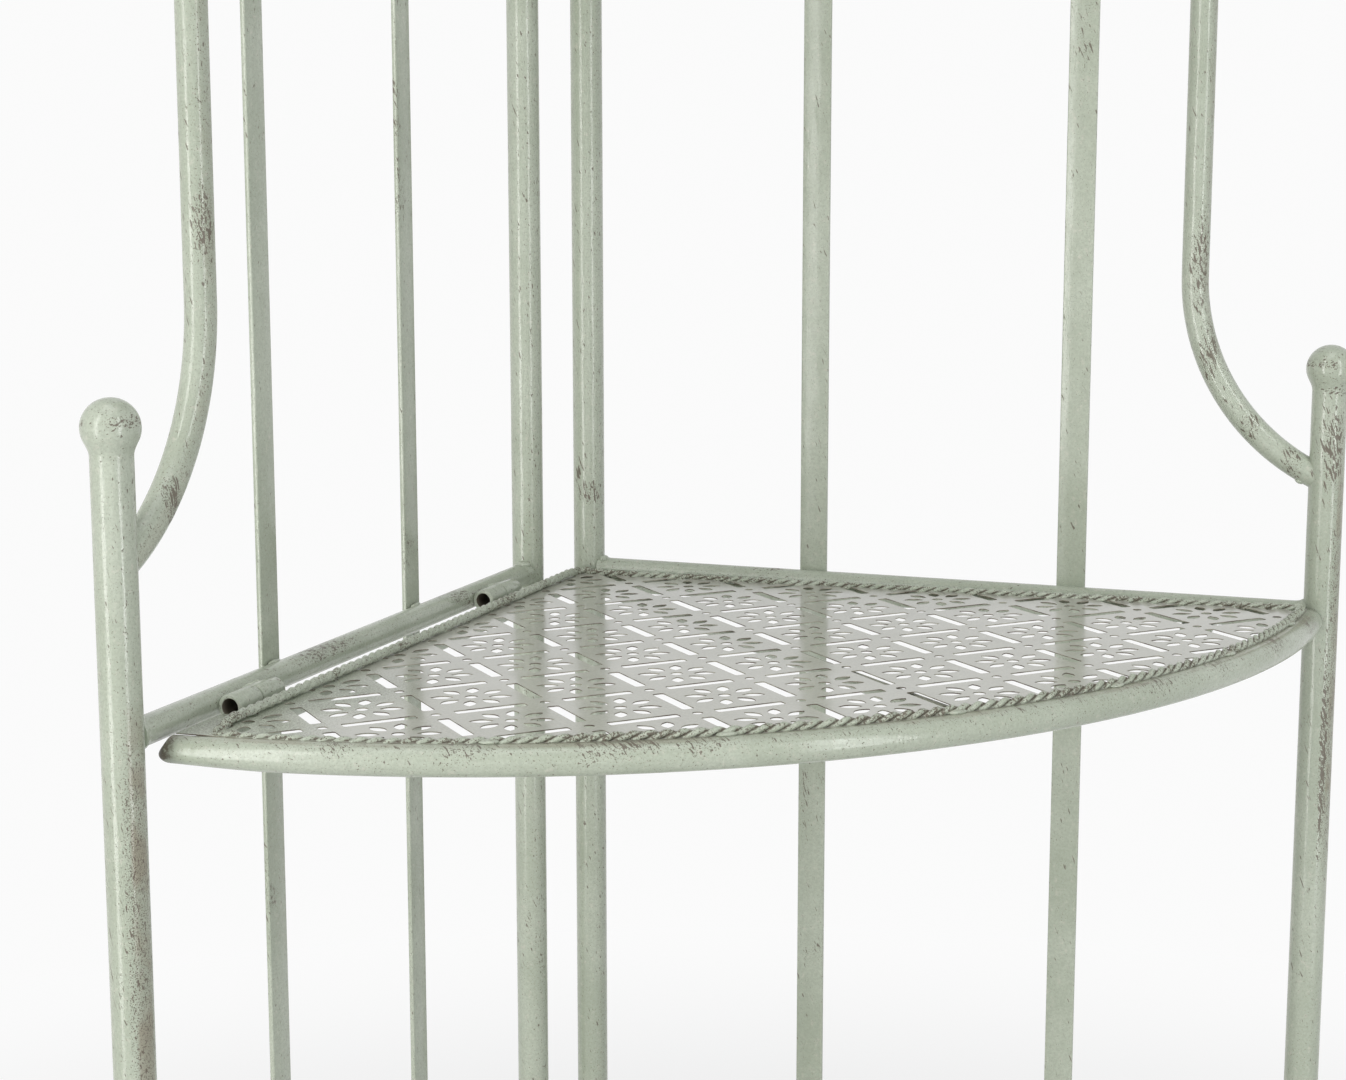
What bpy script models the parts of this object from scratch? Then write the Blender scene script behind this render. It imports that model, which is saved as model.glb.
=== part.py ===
"""Folding corner shelf unit of painted steel tube: two side frames at a right angle and four drop-down shelves."""
import math

import bmesh
import bpy
from mathutils import Vector

# Side frames: distances run along each frame from the corner where the two frame planes cross.
front_post_offset = 0.3202
back_post_offset = 0.0197
upright_offset = 0.2690
inner_bar_offset = 0.1171
outer_bar_offset = 0.2235
post_diameter = 0.0130
post_wall = 0.0012
upright_diameter = 0.0102
crossbar_diameter = 0.0093
bar_width = 0.0113
bar_thickness = 0.0018
bar_overhang = 0.0080

# Heights above the floor and above a tier's crossbar axis.
first_tier_height = 0.2000
tier_spacing = 0.3700
tier_count = 4
wide_tier_count = 2
front_ball_height = 0.0937
upright_bend_height = 0.1280
upright_bend_radius = 0.0830
arch_start_height = 0.0600
back_ball_height = 0.0420

# Ball finials and feet.
ball_diameter = 0.0180
ball_neck_length = 0.0095
foot_diameter = 0.0164
foot_height = 0.0120
foot_chamfer = 0.0012

# Clearances.
seat_gap = 0.0003
running_gap = 0.0004
cut_overrun = 0.0010

# Shelf hinges on the left crossbars; knuckle lengths run along the crossbar.
knuckle_diameter = 0.0085
knuckle_bore = 0.0057
knuckle_length = 0.0140
hinge_pin_diameter = 0.0049
hinge_pin_recess = 0.0030
hinge_axis_rise = 0.0002
back_hinge_offset = 0.0707
front_hinge_inset = 0.0598
weld_bead_diameter = 0.0040
rail_bead_diameter = 0.0028

# Shelf: the rise is measured over the width of the right frame.
shelf_rise = 0.0043
sheet_thickness = 0.0010
sheet_drop = 0.0012
front_rail_diameter = 0.0099
front_arc_setback = 0.0117
front_arc_left_inset = 0.0152
front_arc_right_inset = 0.0033
rail_tip_start = 0.0111
rail_tip_end = 0.0046
hinge_rail_diameter = 0.0065
hinge_rail_shift = 0.0062
side_rail_diameter = 0.0060
brace_diameter = 0.0060
brace_back_shift = 0.0150
brace_front_bearing = 46.9
trim_diameter = 0.0035
trim_inset = 0.0025
trim_left_margin = 0.0044
trim_right_margin = 0.0020

# Plain grid of openings in place of the pierced pattern, measured along each side frame.
grid_pitch = 0.02585
grid_opening = 0.0142
grid_start = 0.0268
grid_margin = 0.0030

# Rest lugs under the right crossbars.
lug_width = 0.0120
lug_thickness = 0.0030
lug_reach = 0.0135
lug_front_inset = 0.0450
lug_edge = 0.0004

# Corner hinges between the two back posts.
corner_knuckle_diameter = 0.0120
corner_knuckle_height = 0.0180
corner_pin_diameter = 0.0060
corner_pin_head_diameter = 0.0100
corner_pin_head_height = 0.0030
corner_pin_tail = 0.0020
corner_web_width = 0.0060
corner_web_inset = 0.0010
lower_hinge_height = 0.0620
upper_hinge_drop = 0.0700

# Shares of the sizes that they follow.
neck_blend_share = 0.55
ball_arc_share = 0.66
web_tip_share = 0.90
tip_radius_shares = ((0.00, 1.00), (0.38, 0.93), (0.66, 0.75), (0.85, 0.55), (1.00, 0.30))

# Segments.
post_sides = 20
rod_sides = 16
thin_rod_sides = 12
turn_steps = 20
arc_steps = 20
bend_steps = 8
arch_steps = 14

post_radius = post_diameter / 2
upright_radius = upright_diameter / 2
crossbar_radius = crossbar_diameter / 2
ball_radius = ball_diameter / 2
knuckle_radius = knuckle_diameter / 2
front_rail_radius = front_rail_diameter / 2
hinge_rail_radius = hinge_rail_diameter / 2
side_rail_radius = side_rail_diameter / 2
brace_radius = brace_diameter / 2
trim_radius = trim_diameter / 2

corner_x = -front_post_offset / 2
corner_y = front_post_offset / 2
tier_heights = [first_tier_height + tier_spacing * index for index in range(tier_count)]
last_wide_height = tier_heights[wide_tier_count - 1]
top_tier_height = tier_heights[-1]
post_foot = foot_height + seat_gap
front_ball_level = last_wide_height + front_ball_height
arch_radius = upright_offset - back_post_offset - post_radius - seat_gap
arch_start_level = top_tier_height + arch_start_height
arch_level = arch_start_level + arch_radius
back_ball_level = arch_level + back_ball_height
hinge_axis_offset = crossbar_radius + knuckle_radius + running_gap
hinge_rail_offset = hinge_axis_offset + hinge_rail_shift
rise_angle = math.atan2(shelf_rise, front_post_offset)


def clear_scene():
    for item in list(bpy.data.objects):
        bpy.data.objects.remove(item, do_unlink=True)


def make_collection(name):
    collection = bpy.data.collections.new(name)
    bpy.context.scene.collection.children.link(collection)
    return collection


clear_scene()
parts = make_collection("corner_shelf_unit")
cutters = make_collection("corner_shelf_cutters")

sage_paint = (0.52, 0.58, 0.49, 1.0)
sheet_paint = (0.56, 0.58, 0.54, 1.0)
steel = (0.45, 0.44, 0.42, 1.0)
foot_plastic = (0.06, 0.06, 0.06, 1.0)


def finish_part(item, color=sage_paint, roughness=0.42, metallic=0.0, parent=None):
    """Give a part its own material, collection and parent."""
    for collection in list(item.users_collection):
        collection.objects.unlink(item)
    parts.objects.link(item)
    material = bpy.data.materials.new(item.name + "_finish")
    material.use_nodes = True
    shader = material.node_tree.nodes["Principled BSDF"]
    shader.inputs["Base Color"].default_value = color
    shader.inputs["Roughness"].default_value = roughness
    shader.inputs["Metallic"].default_value = metallic
    material.diffuse_color = color
    item.data.materials.clear()
    item.data.materials.append(material)
    if parent is not None:
        item.parent = parent
    return item


def finish_cutter(item, parent=None):
    for collection in list(item.users_collection):
        collection.objects.unlink(item)
    cutters.objects.link(item)
    item.hide_render = True
    item.display_type = "WIRE"
    if parent is not None:
        item.parent = parent
    return item


def smooth(mesh):
    mesh.shade_smooth()
    mesh.set_sharp_from_angle(angle=math.radians(40))


def make_cylinder(name, start, end, radius, sides):
    """A closed round rod between two points."""
    start = Vector(start)
    end = Vector(end)
    direction = end - start
    bpy.ops.mesh.primitive_cylinder_add(vertices=sides, radius=radius, depth=direction.length)
    item = bpy.context.object
    item.name = name
    item.location = (start + end) / 2
    item.rotation_euler = direction.to_track_quat("Z", "Y").to_euler()
    smooth(item.data)
    return item


def make_post(name, foot, top):
    """A vertical tube, open at both ends."""
    foot = Vector(foot)
    top = Vector(top)
    bpy.ops.mesh.primitive_cylinder_add(
        vertices=post_sides, radius=post_radius, depth=(top - foot).length, end_fill_type="NOTHING")
    item = bpy.context.object
    item.name = name
    item.location = (foot + top) / 2
    smooth(item.data)
    wall = item.modifiers.new("wall", "SOLIDIFY")
    wall.thickness = post_wall
    wall.offset = -1.0
    return item


def make_box(name, center, size, edge=0.0):
    """A block with its own size in its mesh, so that its scale stays at one."""
    mesh = bpy.data.meshes.new(name)
    shape = bmesh.new()
    bmesh.ops.create_cube(shape, size=1.0)
    bmesh.ops.scale(shape, vec=size, verts=shape.verts)
    shape.to_mesh(mesh)
    shape.free()
    item = bpy.data.objects.new(name, mesh)
    parts.objects.link(item)
    item.location = center
    if edge > 0:
        rounding = item.modifiers.new("edge", "BEVEL")
        rounding.width = edge
        rounding.segments = 1
    return item


def make_turned(name, profile, location):
    """A solid of revolution from (radius, height) points that run down its outer side."""
    mesh = bpy.data.meshes.new(name)
    points = [(radius, 0.0, height) for radius, height in profile]
    edges = [(index, index + 1) for index in range(len(points) - 1)]
    mesh.from_pydata(points, edges, [])
    item = bpy.data.objects.new(name, mesh)
    parts.objects.link(item)
    item.location = location
    turn = item.modifiers.new("turn", "SCREW")
    turn.axis = "Z"
    turn.angle = math.tau
    turn.steps = turn_steps
    turn.render_steps = turn_steps
    turn.use_merge_vertices = True
    turn.merge_threshold = 0.00001
    turn.use_smooth_shade = True
    return item


def make_rod(name, points, radius, resolution, closed=False, radius_shares=None):
    """A bent rod along points, with filled ends."""
    curve = bpy.data.curves.new(name, "CURVE")
    curve.dimensions = "3D"
    curve.bevel_depth = radius
    curve.bevel_resolution = resolution
    curve.use_fill_caps = True
    line = curve.splines.new("POLY")
    line.points.add(len(points) - 1)
    for index, point in enumerate(points):
        line.points[index].co = (point[0], point[1], point[2], 1.0)
        if radius_shares is not None:
            line.points[index].radius = radius_shares[index]
    line.use_cyclic_u = closed
    line.use_smooth = True
    item = bpy.data.objects.new(name, curve)
    parts.objects.link(item)
    return item


def unite(item, tool):
    change = item.modifiers.new("weld_" + tool.name, "BOOLEAN")
    change.operation = "UNION"
    change.solver = "EXACT"
    change.object = tool


def cut(item, tool):
    change = item.modifiers.new("cut_" + tool.name, "BOOLEAN")
    change.operation = "DIFFERENCE"
    change.solver = "EXACT"
    change.object = tool


def frame_point(side, along, outward, height):
    """World point from distances along a side frame, out of its plane, and above the floor."""
    if side == "left":
        return Vector((corner_x - outward, corner_y - along, height))
    return Vector((corner_x + along, corner_y + outward, height))


def finial_profile():
    """Ball on a neck of the post's own diameter."""
    points = []
    steps = turn_steps // 2
    last_angle = math.pi * ball_arc_share
    for index in range(steps + 1):
        angle = last_angle * index / steps
        points.append((ball_radius * math.sin(angle), ball_radius * math.cos(angle)))
    blend_radius, blend_height = points[-1]
    neck_top = blend_height - (ball_neck_length + blend_height) * neck_blend_share
    middle_radius = post_radius + (blend_radius - post_radius) * (1 - neck_blend_share) / 2
    points.append((middle_radius, (blend_height + neck_top) / 2))
    points.append((post_radius, neck_top))
    points.append((post_radius, -ball_neck_length))
    points.append((0.0, -ball_neck_length))
    return points


def foot_profile():
    foot_radius = foot_diameter / 2
    return [
        (0.0, foot_height),
        (foot_radius - foot_chamfer, foot_height),
        (foot_radius, foot_height - foot_chamfer),
        (foot_radius, foot_chamfer),
        (foot_radius - foot_chamfer, 0.0),
        (0.0, 0.0),
    ]


def upright_points(side):
    """Curved upright: from the front post up and inward, straight up, then over to the back post."""
    center = upright_offset + upright_bend_radius
    bend_level = last_wide_height + upright_bend_height
    slope_share = 0.5
    reach = front_post_offset - post_radius - seat_gap - upright_radius * slope_share
    last_angle = math.pi + math.acos((center - reach) / upright_bend_radius)
    points = []
    for index in range(bend_steps + 1):
        angle = last_angle + (math.pi - last_angle) * index / bend_steps
        along = center + upright_bend_radius * math.cos(angle)
        height = bend_level + upright_bend_radius * math.sin(angle)
        points.append(frame_point(side, along, 0.0, height))
    arch_center = upright_offset - arch_radius
    for index in range(arch_steps + 1):
        angle = math.pi / 2 * index / arch_steps
        along = arch_center + arch_radius * math.cos(angle)
        height = arch_start_level + arch_radius * math.sin(angle)
        points.append(frame_point(side, along, 0.0, height))
    return points


def tier_outer_offset(tier):
    """Axis of the post or upright that ends a tier's crossbars."""
    if tier < wide_tier_count:
        return front_post_offset
    return upright_offset


def tier_outer_radius(tier):
    if tier < wide_tier_count:
        return post_radius
    return upright_radius


def hinge_offsets(tier):
    return (back_hinge_offset, tier_outer_offset(tier) - front_hinge_inset)


# Corner hinge places: the axis lies midway between the back posts.
corner_axis = Vector((corner_x + back_post_offset / 2, corner_y - back_post_offset / 2, 0.0))
corner_hinge_levels = (lower_hinge_height, top_tier_height - upper_hinge_drop)


def build_corner_knuckles(side):
    """Knuckles welded to a back post at each corner hinge; the right frame's knuckles sit on the left's."""
    base = frame_point(side, back_post_offset, 0.0, 0.0)
    direction = (corner_axis - base).normalized()
    distance = (corner_axis - base).length
    knuckle_edge = corner_knuckle_diameter / 2
    root = post_radius + seat_gap
    tip = distance - knuckle_edge * web_tip_share
    for label, level in zip(("lower", "upper"), corner_hinge_levels):
        low = level
        if side == "right":
            low = level + corner_knuckle_height + running_gap
        high = low + corner_knuckle_height
        name = side + "_corner_knuckle_" + label
        knuckle = make_cylinder(
            name, corner_axis + Vector((0, 0, low)), corner_axis + Vector((0, 0, high)),
            knuckle_edge, rod_sides)
        web = make_box(
            name + "_web", base + direction * (root + tip) / 2 + Vector((0, 0, (low + high) / 2)),
            (tip - root, corner_web_width, corner_knuckle_height - corner_web_inset * 2))
        web.rotation_euler = (0, 0, math.atan2(direction.y, direction.x))
        finish_cutter(web)
        bore = make_cylinder(
            name + "_bore", corner_axis + Vector((0, 0, low - cut_overrun)),
            corner_axis + Vector((0, 0, high + cut_overrun)),
            corner_pin_diameter / 2 + seat_gap, rod_sides)
        finish_cutter(bore)
        unite(knuckle, web)
        cut(knuckle, bore)
        finish_part(knuckle)


def add_fixed_knuckles(tier, crossbar, level):
    """Weld the fixed knuckles, each with its pin, to a left crossbar."""
    axis_level = level + hinge_axis_rise
    for index, offset in enumerate(hinge_offsets(tier)):
        label = "fixed_knuckle_" + str(tier + 1) + "_" + str(index + 1)
        near = frame_point("left", offset - running_gap / 2, -hinge_axis_offset, axis_level)
        far = frame_point("left", offset - knuckle_length, -hinge_axis_offset, axis_level)
        knuckle = finish_cutter(make_cylinder(label, far, near, knuckle_radius, rod_sides))
        pin_end = frame_point(
            "left", offset + knuckle_length - hinge_pin_recess, -hinge_axis_offset, axis_level)
        pin_start = frame_point("left", offset - knuckle_length / 2, -hinge_axis_offset, axis_level)
        pin = finish_cutter(
            make_cylinder(label + "_pin", pin_start, pin_end, hinge_pin_diameter / 2, thin_rod_sides))
        bead_offset = -(crossbar_radius + running_gap / 2)
        bead_level = level + hinge_axis_rise / 2
        bead = finish_cutter(make_cylinder(
            label + "_bead",
            frame_point("left", offset - knuckle_length + cut_overrun, bead_offset, bead_level),
            frame_point("left", offset - cut_overrun, bead_offset, bead_level),
            weld_bead_diameter / 2, thin_rod_sides))
        unite(knuckle, pin)
        unite(knuckle, bead)
        unite(crossbar, knuckle)


def build_frame(side):
    post_start = frame_point(side, back_post_offset, 0.0, post_foot)
    post_end = frame_point(side, back_post_offset, 0.0, back_ball_level - ball_neck_length - seat_gap)
    finish_part(make_post(side + "_back_post", post_start, post_end))
    build_corner_knuckles(side)
    finish_part(make_post(
        side + "_front_post",
        frame_point(side, front_post_offset, 0.0, post_foot),
        frame_point(side, front_post_offset, 0.0, front_ball_level - ball_neck_length - seat_gap)))
    finish_part(make_rod(side + "_upright", upright_points(side), upright_radius, 4))
    bar_low = tier_heights[0] - bar_overhang
    bar_high = top_tier_height + bar_overhang
    bar_outward = crossbar_radius + seat_gap + bar_thickness / 2
    for label, offset in (("inner", inner_bar_offset), ("outer", outer_bar_offset)):
        size = (bar_width, bar_thickness, bar_high - bar_low)
        if side == "left":
            size = (bar_thickness, bar_width, bar_high - bar_low)
        finish_part(make_box(
            side + "_" + label + "_bar",
            frame_point(side, offset, bar_outward, (bar_low + bar_high) / 2), size,
            edge=bar_thickness / 5))
    bar_start = back_post_offset + post_radius + seat_gap
    for tier, level in enumerate(tier_heights):
        bar_end = tier_outer_offset(tier) - tier_outer_radius(tier) - seat_gap
        crossbar = finish_part(make_cylinder(
            side + "_crossbar_" + str(tier + 1),
            frame_point(side, bar_start, 0.0, level), frame_point(side, bar_end, 0.0, level),
            crossbar_radius, rod_sides))
        if side == "left":
            add_fixed_knuckles(tier, crossbar, level)
    finish_part(make_turned(
        side + "_front_finial", finial_profile(),
        frame_point(side, front_post_offset, 0.0, front_ball_level)))
    finish_part(make_turned(
        side + "_top_finial", finial_profile(),
        frame_point(side, back_post_offset, 0.0, back_ball_level)))
    for label, offset in (("back", back_post_offset), ("front", front_post_offset)):
        finish_part(
            make_turned(
                side + "_" + label + "_foot", foot_profile(), frame_point(side, offset, 0.0, 0.0)),
            color=foot_plastic, roughness=0.6)


def build_corner_pins():
    """Headed pins dropped through both knuckles of each corner hinge."""
    pin_radius = corner_pin_diameter / 2
    head_radius = corner_pin_head_diameter / 2
    stack = corner_knuckle_height * 2 + running_gap
    head_low = stack + seat_gap
    head_high = head_low + corner_pin_head_height
    profile = [
        (0.0, head_high),
        (head_radius - foot_chamfer, head_high),
        (head_radius, head_high - foot_chamfer),
        (head_radius, head_low),
        (pin_radius, head_low),
        (pin_radius, -corner_pin_tail),
        (0.0, -corner_pin_tail),
    ]
    for label, level in zip(("lower", "upper"), corner_hinge_levels):
        finish_part(
            make_turned("corner_pin_" + label, profile, corner_axis + Vector((0, 0, level))),
            color=steel, roughness=0.4, metallic=0.9)


def arc_side(center, radius, across):
    """How far an arc reaches on one axis where its other coordinate is given."""
    return center + math.sqrt(radius * radius - across * across)


def grid_squares(low_along, low_across, center, radius):
    """Square openings that keep their margin inside a sheet's two straight edges and its arc."""
    half = grid_opening / 2
    squares = []
    for row in range(int(radius / grid_pitch) + 1):
        for column in range(int(radius / grid_pitch) + 1):
            along = grid_start + grid_pitch * row
            across = grid_start + grid_pitch * column
            if along - half < low_along + grid_margin or across - half < low_across + grid_margin:
                continue
            if math.hypot(along + half - center[0], across + half - center[1]) > radius - grid_margin:
                continue
            squares.append([
                (along - half, across - half), (along - half, across + half),
                (along + half, across + half), (along + half, across - half)])
    return squares


def build_shelf(tier, level):
    """One shelf, in its own frame: X from the hinge axis to the right, Y against the frame, Z up."""
    name = "shelf_" + str(tier + 1)
    hinge = bpy.data.objects.new(name + "_hinge", None)
    parts.objects.link(hinge)
    hinge.location = frame_point("left", 0.0, -hinge_axis_offset, level + hinge_axis_rise)
    hinge.rotation_euler = (0.0, -rise_angle, 0.0)
    outer = tier_outer_offset(tier)

    def local(along, across, height):
        return Vector((across - hinge_axis_offset, -along, height))

    sheet_top = -sheet_drop
    sheet_low = sheet_top - sheet_thickness
    arc_radius = outer - front_arc_setback
    arc_along = outer - front_arc_left_inset - arc_radius
    arc_across = outer - front_arc_right_inset - arc_radius
    front_level = sheet_top - front_rail_radius
    side_clear = post_radius + running_gap

    # Front rail: a tube along the arc, squeezed to a beak at its left end.
    first_angle = math.asin((rail_tip_end - arc_across) / arc_radius)
    body_angle = math.asin((rail_tip_start - arc_across) / arc_radius)
    last_angle = math.acos((side_clear - arc_along) / arc_radius)
    angles = []
    shares = []
    for place_share, radius_share in reversed(tip_radius_shares):
        angles.append(body_angle + (first_angle - body_angle) * place_share)
        shares.append(radius_share)
    for index in range(1, arc_steps + 1):
        angles.append(body_angle + (last_angle - body_angle) * index / arc_steps)
        shares.append(1.0)
    points = [
        local(arc_along + arc_radius * math.cos(angle), arc_across + arc_radius * math.sin(angle), front_level)
        for angle in angles]
    finish_part(
        make_rod(name + "_front_rail", points, front_rail_radius, 4, radius_shares=shares), parent=hinge)

    # Sheet: its front edge meets the rail's upper inner side; openings in a plain grid lighten it.
    under = front_rail_radius - sheet_thickness
    edge_inset = math.sqrt(max(front_rail_radius ** 2 - under ** 2, 0.0)) + seat_gap
    sheet_radius = arc_radius - edge_inset
    sheet_left = hinge_axis_offset + knuckle_radius + running_gap * 2
    start_angle = math.asin((sheet_left - arc_across) / sheet_radius)
    end_angle = math.acos((side_clear - arc_along) / sheet_radius)
    outline = [local(side_clear, sheet_left, 0.0)]
    for index in range(arc_steps + 1):
        angle = start_angle + (end_angle - start_angle) * index / arc_steps
        outline.append(local(
            arc_along + sheet_radius * math.cos(angle), arc_across + sheet_radius * math.sin(angle), 0.0))
    flat = bpy.data.curves.new(name + "_sheet", "CURVE")
    flat.dimensions = "2D"
    flat.fill_mode = "BOTH"
    flat.extrude = sheet_thickness / 2
    loops = [outline]
    for square in grid_squares(side_clear, sheet_left, (arc_along, arc_across), sheet_radius):
        loops.append([local(along, across, 0.0) for along, across in square])
    for loop in loops:
        line = flat.splines.new("POLY")
        line.points.add(len(loop) - 1)
        for index, point in enumerate(loop):
            line.points[index].co = (point.x, point.y, 0.0, 1.0)
        line.use_cyclic_u = True
    sheet = bpy.data.objects.new(name + "_sheet", flat)
    parts.objects.link(sheet)
    sheet.location = (0.0, 0.0, (sheet_top + sheet_low) / 2)
    finish_part(sheet, color=sheet_paint, roughness=0.34, parent=hinge)

    # Hinge rail with its two moving knuckles.
    rail_level = sheet_low - seat_gap - hinge_rail_radius
    rail_end = arc_side(arc_along, arc_radius, hinge_rail_offset - arc_across) - front_rail_radius - seat_gap
    hinge_rail = make_cylinder(
        name + "_hinge_rail",
        local(side_clear, hinge_rail_offset, rail_level), local(rail_end, hinge_rail_offset, rail_level),
        hinge_rail_radius, rod_sides)
    for index, offset in enumerate(hinge_offsets(tier)):
        label = "moving_knuckle_" + str(tier + 1) + "_" + str(index + 1)
        near = local(offset + running_gap / 2, hinge_axis_offset, 0.0)
        far = local(offset + knuckle_length, hinge_axis_offset, 0.0)
        knuckle = finish_cutter(make_cylinder(label, near, far, knuckle_radius, rod_sides), parent=hinge)
        gap_length = math.hypot(hinge_rail_shift, rail_level) - knuckle_radius - hinge_rail_radius
        bead_share = (knuckle_radius + gap_length / 2) / math.hypot(hinge_rail_shift, rail_level)
        bead = finish_cutter(
            make_cylinder(
                label + "_bead",
                local(offset + cut_overrun, hinge_axis_offset + hinge_rail_shift * bead_share,
                      rail_level * bead_share),
                local(offset + knuckle_length - cut_overrun, hinge_axis_offset + hinge_rail_shift * bead_share,
                      rail_level * bead_share),
                rail_bead_diameter / 2, thin_rod_sides),
            parent=hinge)
        bore = finish_cutter(
            make_cylinder(
                label + "_bore",
                local(offset - cut_overrun, hinge_axis_offset, 0.0),
                local(offset + knuckle_length + cut_overrun, hinge_axis_offset, 0.0),
                knuckle_bore / 2, rod_sides),
            parent=hinge)
        unite(knuckle, bead)
        cut(knuckle, bore)
        unite(hinge_rail, knuckle)
    finish_part(hinge_rail, parent=hinge)

    # Side rail and diagonal brace, both under the sheet.
    side_along = side_clear + side_rail_radius
    side_level = sheet_low - seat_gap - side_rail_radius
    side_start = hinge_rail_offset + hinge_rail_radius + seat_gap
    side_end = arc_side(arc_across, arc_radius, side_along - arc_along) - front_rail_radius - seat_gap
    finish_part(
        make_cylinder(
            name + "_side_rail", local(side_along, side_start, side_level),
            local(side_along, side_end, side_level), side_rail_radius, thin_rod_sides),
        parent=hinge)
    brace_level = sheet_low - seat_gap - brace_radius
    brace_start = side_along + side_rail_radius + seat_gap + brace_radius / math.sqrt(2)
    bearing = math.radians(brace_front_bearing)
    reach = arc_radius - front_rail_radius - seat_gap * 2
    finish_part(
        make_cylinder(
            name + "_brace", local(brace_start, brace_start + brace_back_shift, brace_level),
            local(arc_along + reach * math.cos(bearing), arc_across + reach * math.sin(bearing), brace_level),
            brace_radius, thin_rod_sides),
        parent=hinge)

    # Twisted-wire trim along the sheet's three edges, here as one plain rod.
    trim_level = sheet_top + seat_gap + trim_radius
    trim_arc = arc_radius - trim_inset
    trim_left = sheet_left + trim_left_margin
    trim_along = side_clear + trim_right_margin
    first = math.asin((trim_left - arc_across) / trim_arc)
    last = math.acos((trim_along - arc_along) / trim_arc)
    points = [local(trim_along, trim_left, trim_level)]
    for index in range(arc_steps + 1):
        angle = first + (last - first) * index / arc_steps
        points.append(local(
            arc_along + trim_arc * math.cos(angle), arc_across + trim_arc * math.sin(angle), trim_level))
    finish_part(make_rod(name + "_trim", points, trim_radius, 2, closed=True), parent=hinge)
    return side_level


def build_rest_lug(tier, level, side_level):
    """Lug under a right crossbar that carries the front end of the shelf's side rail."""
    across = tier_outer_offset(tier) - lug_front_inset
    rail_low = hinge_axis_rise + side_level - side_rail_radius
    rail_low = rail_low + (across - hinge_axis_offset - lug_width / 2) * math.tan(rise_angle)
    top = min(rail_low, -crossbar_radius) - seat_gap
    back = crossbar_radius
    center = frame_point("right", across, (back - lug_reach) / 2, level + top - lug_thickness / 2)
    finish_part(make_box(
        "rest_lug_" + str(tier + 1), center, (lug_width, back + lug_reach, lug_thickness), edge=lug_edge))


build_frame("left")
build_frame("right")
build_corner_pins()
for tier_index, tier_level in enumerate(tier_heights):
    rail_height = build_shelf(tier_index, tier_level)
    build_rest_lug(tier_index, tier_level, rail_height)
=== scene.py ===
"""Folding corner shelf unit: painted tube frames, pierced shelves that fold up, and twisted-wire trims."""
import math

import bmesh
import bpy
from mathutils import Matrix, Vector, geometry, noise


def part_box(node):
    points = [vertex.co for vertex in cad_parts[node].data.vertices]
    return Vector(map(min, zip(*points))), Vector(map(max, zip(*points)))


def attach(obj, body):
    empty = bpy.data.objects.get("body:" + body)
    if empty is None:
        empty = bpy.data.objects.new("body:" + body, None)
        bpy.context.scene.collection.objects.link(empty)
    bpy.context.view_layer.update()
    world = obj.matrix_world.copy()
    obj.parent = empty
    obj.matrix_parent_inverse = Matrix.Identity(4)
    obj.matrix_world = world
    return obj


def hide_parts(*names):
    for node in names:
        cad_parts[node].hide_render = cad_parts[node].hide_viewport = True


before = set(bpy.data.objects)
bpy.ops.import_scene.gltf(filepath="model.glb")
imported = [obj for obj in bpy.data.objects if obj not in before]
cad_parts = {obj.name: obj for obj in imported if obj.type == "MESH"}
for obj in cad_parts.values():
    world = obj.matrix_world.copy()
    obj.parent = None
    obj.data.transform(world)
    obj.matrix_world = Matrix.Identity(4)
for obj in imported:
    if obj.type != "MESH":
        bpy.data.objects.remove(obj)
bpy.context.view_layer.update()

rightward = Vector((1, 0, 0))
backward = Vector((0, 1, 0))
up = Vector((0, 0, 1))


def box_middle(name):
    low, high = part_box(name)
    return (low + high) / 2


def box_size(name):
    low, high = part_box(name)
    return high - low


# Read from the frame, in metres; offsets run along each side frame from the unit's back corner.
tiers = (1, 2, 3, 4)
wide_tiers = (1, 2)
pictured_tier = 2
tier_level = {tier: box_middle(f"right_crossbar_{tier}").z for tier in tiers}
corner_x = box_middle("left_front_post").x
corner_y = box_middle("right_front_post").y
front_post_offset = corner_y - box_middle("left_front_post").y
back_post_offset = corner_y - box_middle("left_back_post").y
post_radius = box_size("left_front_post").x / 2
upright_radius = box_size("left_upright").x / 2
crossbar_radius = box_size("right_crossbar_1").y / 2
foot_height = box_size("left_front_foot").z
foot_radius = box_size("left_front_foot").x / 2
ball_radius = box_size("left_front_finial").x / 2
front_ball_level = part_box("left_front_finial")[1].z - ball_radius
back_ball_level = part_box("left_top_finial")[1].z - ball_radius

# Posts: heights at a finial are measured from the ball's middle.
post_top = -0.0096
ball_angles = (math.radians(3), math.radians(116))
neck_end = -0.0082
neck_seat = -0.0098
foot_rounding = 0.0016
foot_collar_gap = 0.0006

# Rounded edges of the flat bars and of the rest lugs.
bar_edge = 0.00042
lug_edge = 0.0007

# Uprights.
upright_offset = 0.2690
upright_bend_radius = 0.0830
upright_bend_level = tier_level[pictured_tier] + 0.1280
upright_sink_share = 0.55
arch_start_level = tier_level[tiers[-1]] + 0.0600
arch_radius = upright_offset - back_post_offset - post_radius

# Shelf hinges and the shelf's own frame.
hinge_axis_offset = 0.0093
hinge_axis_rise = 0.0002
rise_angle = math.atan2(0.0043, front_post_offset)
back_hinge_offset = 0.0707
front_hinge_inset = 0.0598
knuckle_radius = 0.00425
knuckle_bore_radius = 0.00285
knuckle_length = 0.0140
knuckle_bore_depth = 0.0136
knuckle_play = 0.0002
knuckle_edge = 0.0005
pin_radius = 0.00245
pin_recess = 0.0125

# Corner hinges.
corner_knuckle_radius = 0.0060
corner_knuckle_bore = 0.0033
corner_knuckle_edge = 0.0006
corner_web_thickness = 0.0060
corner_shank_radius = 0.0030
corner_head_height = 0.0030

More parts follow.
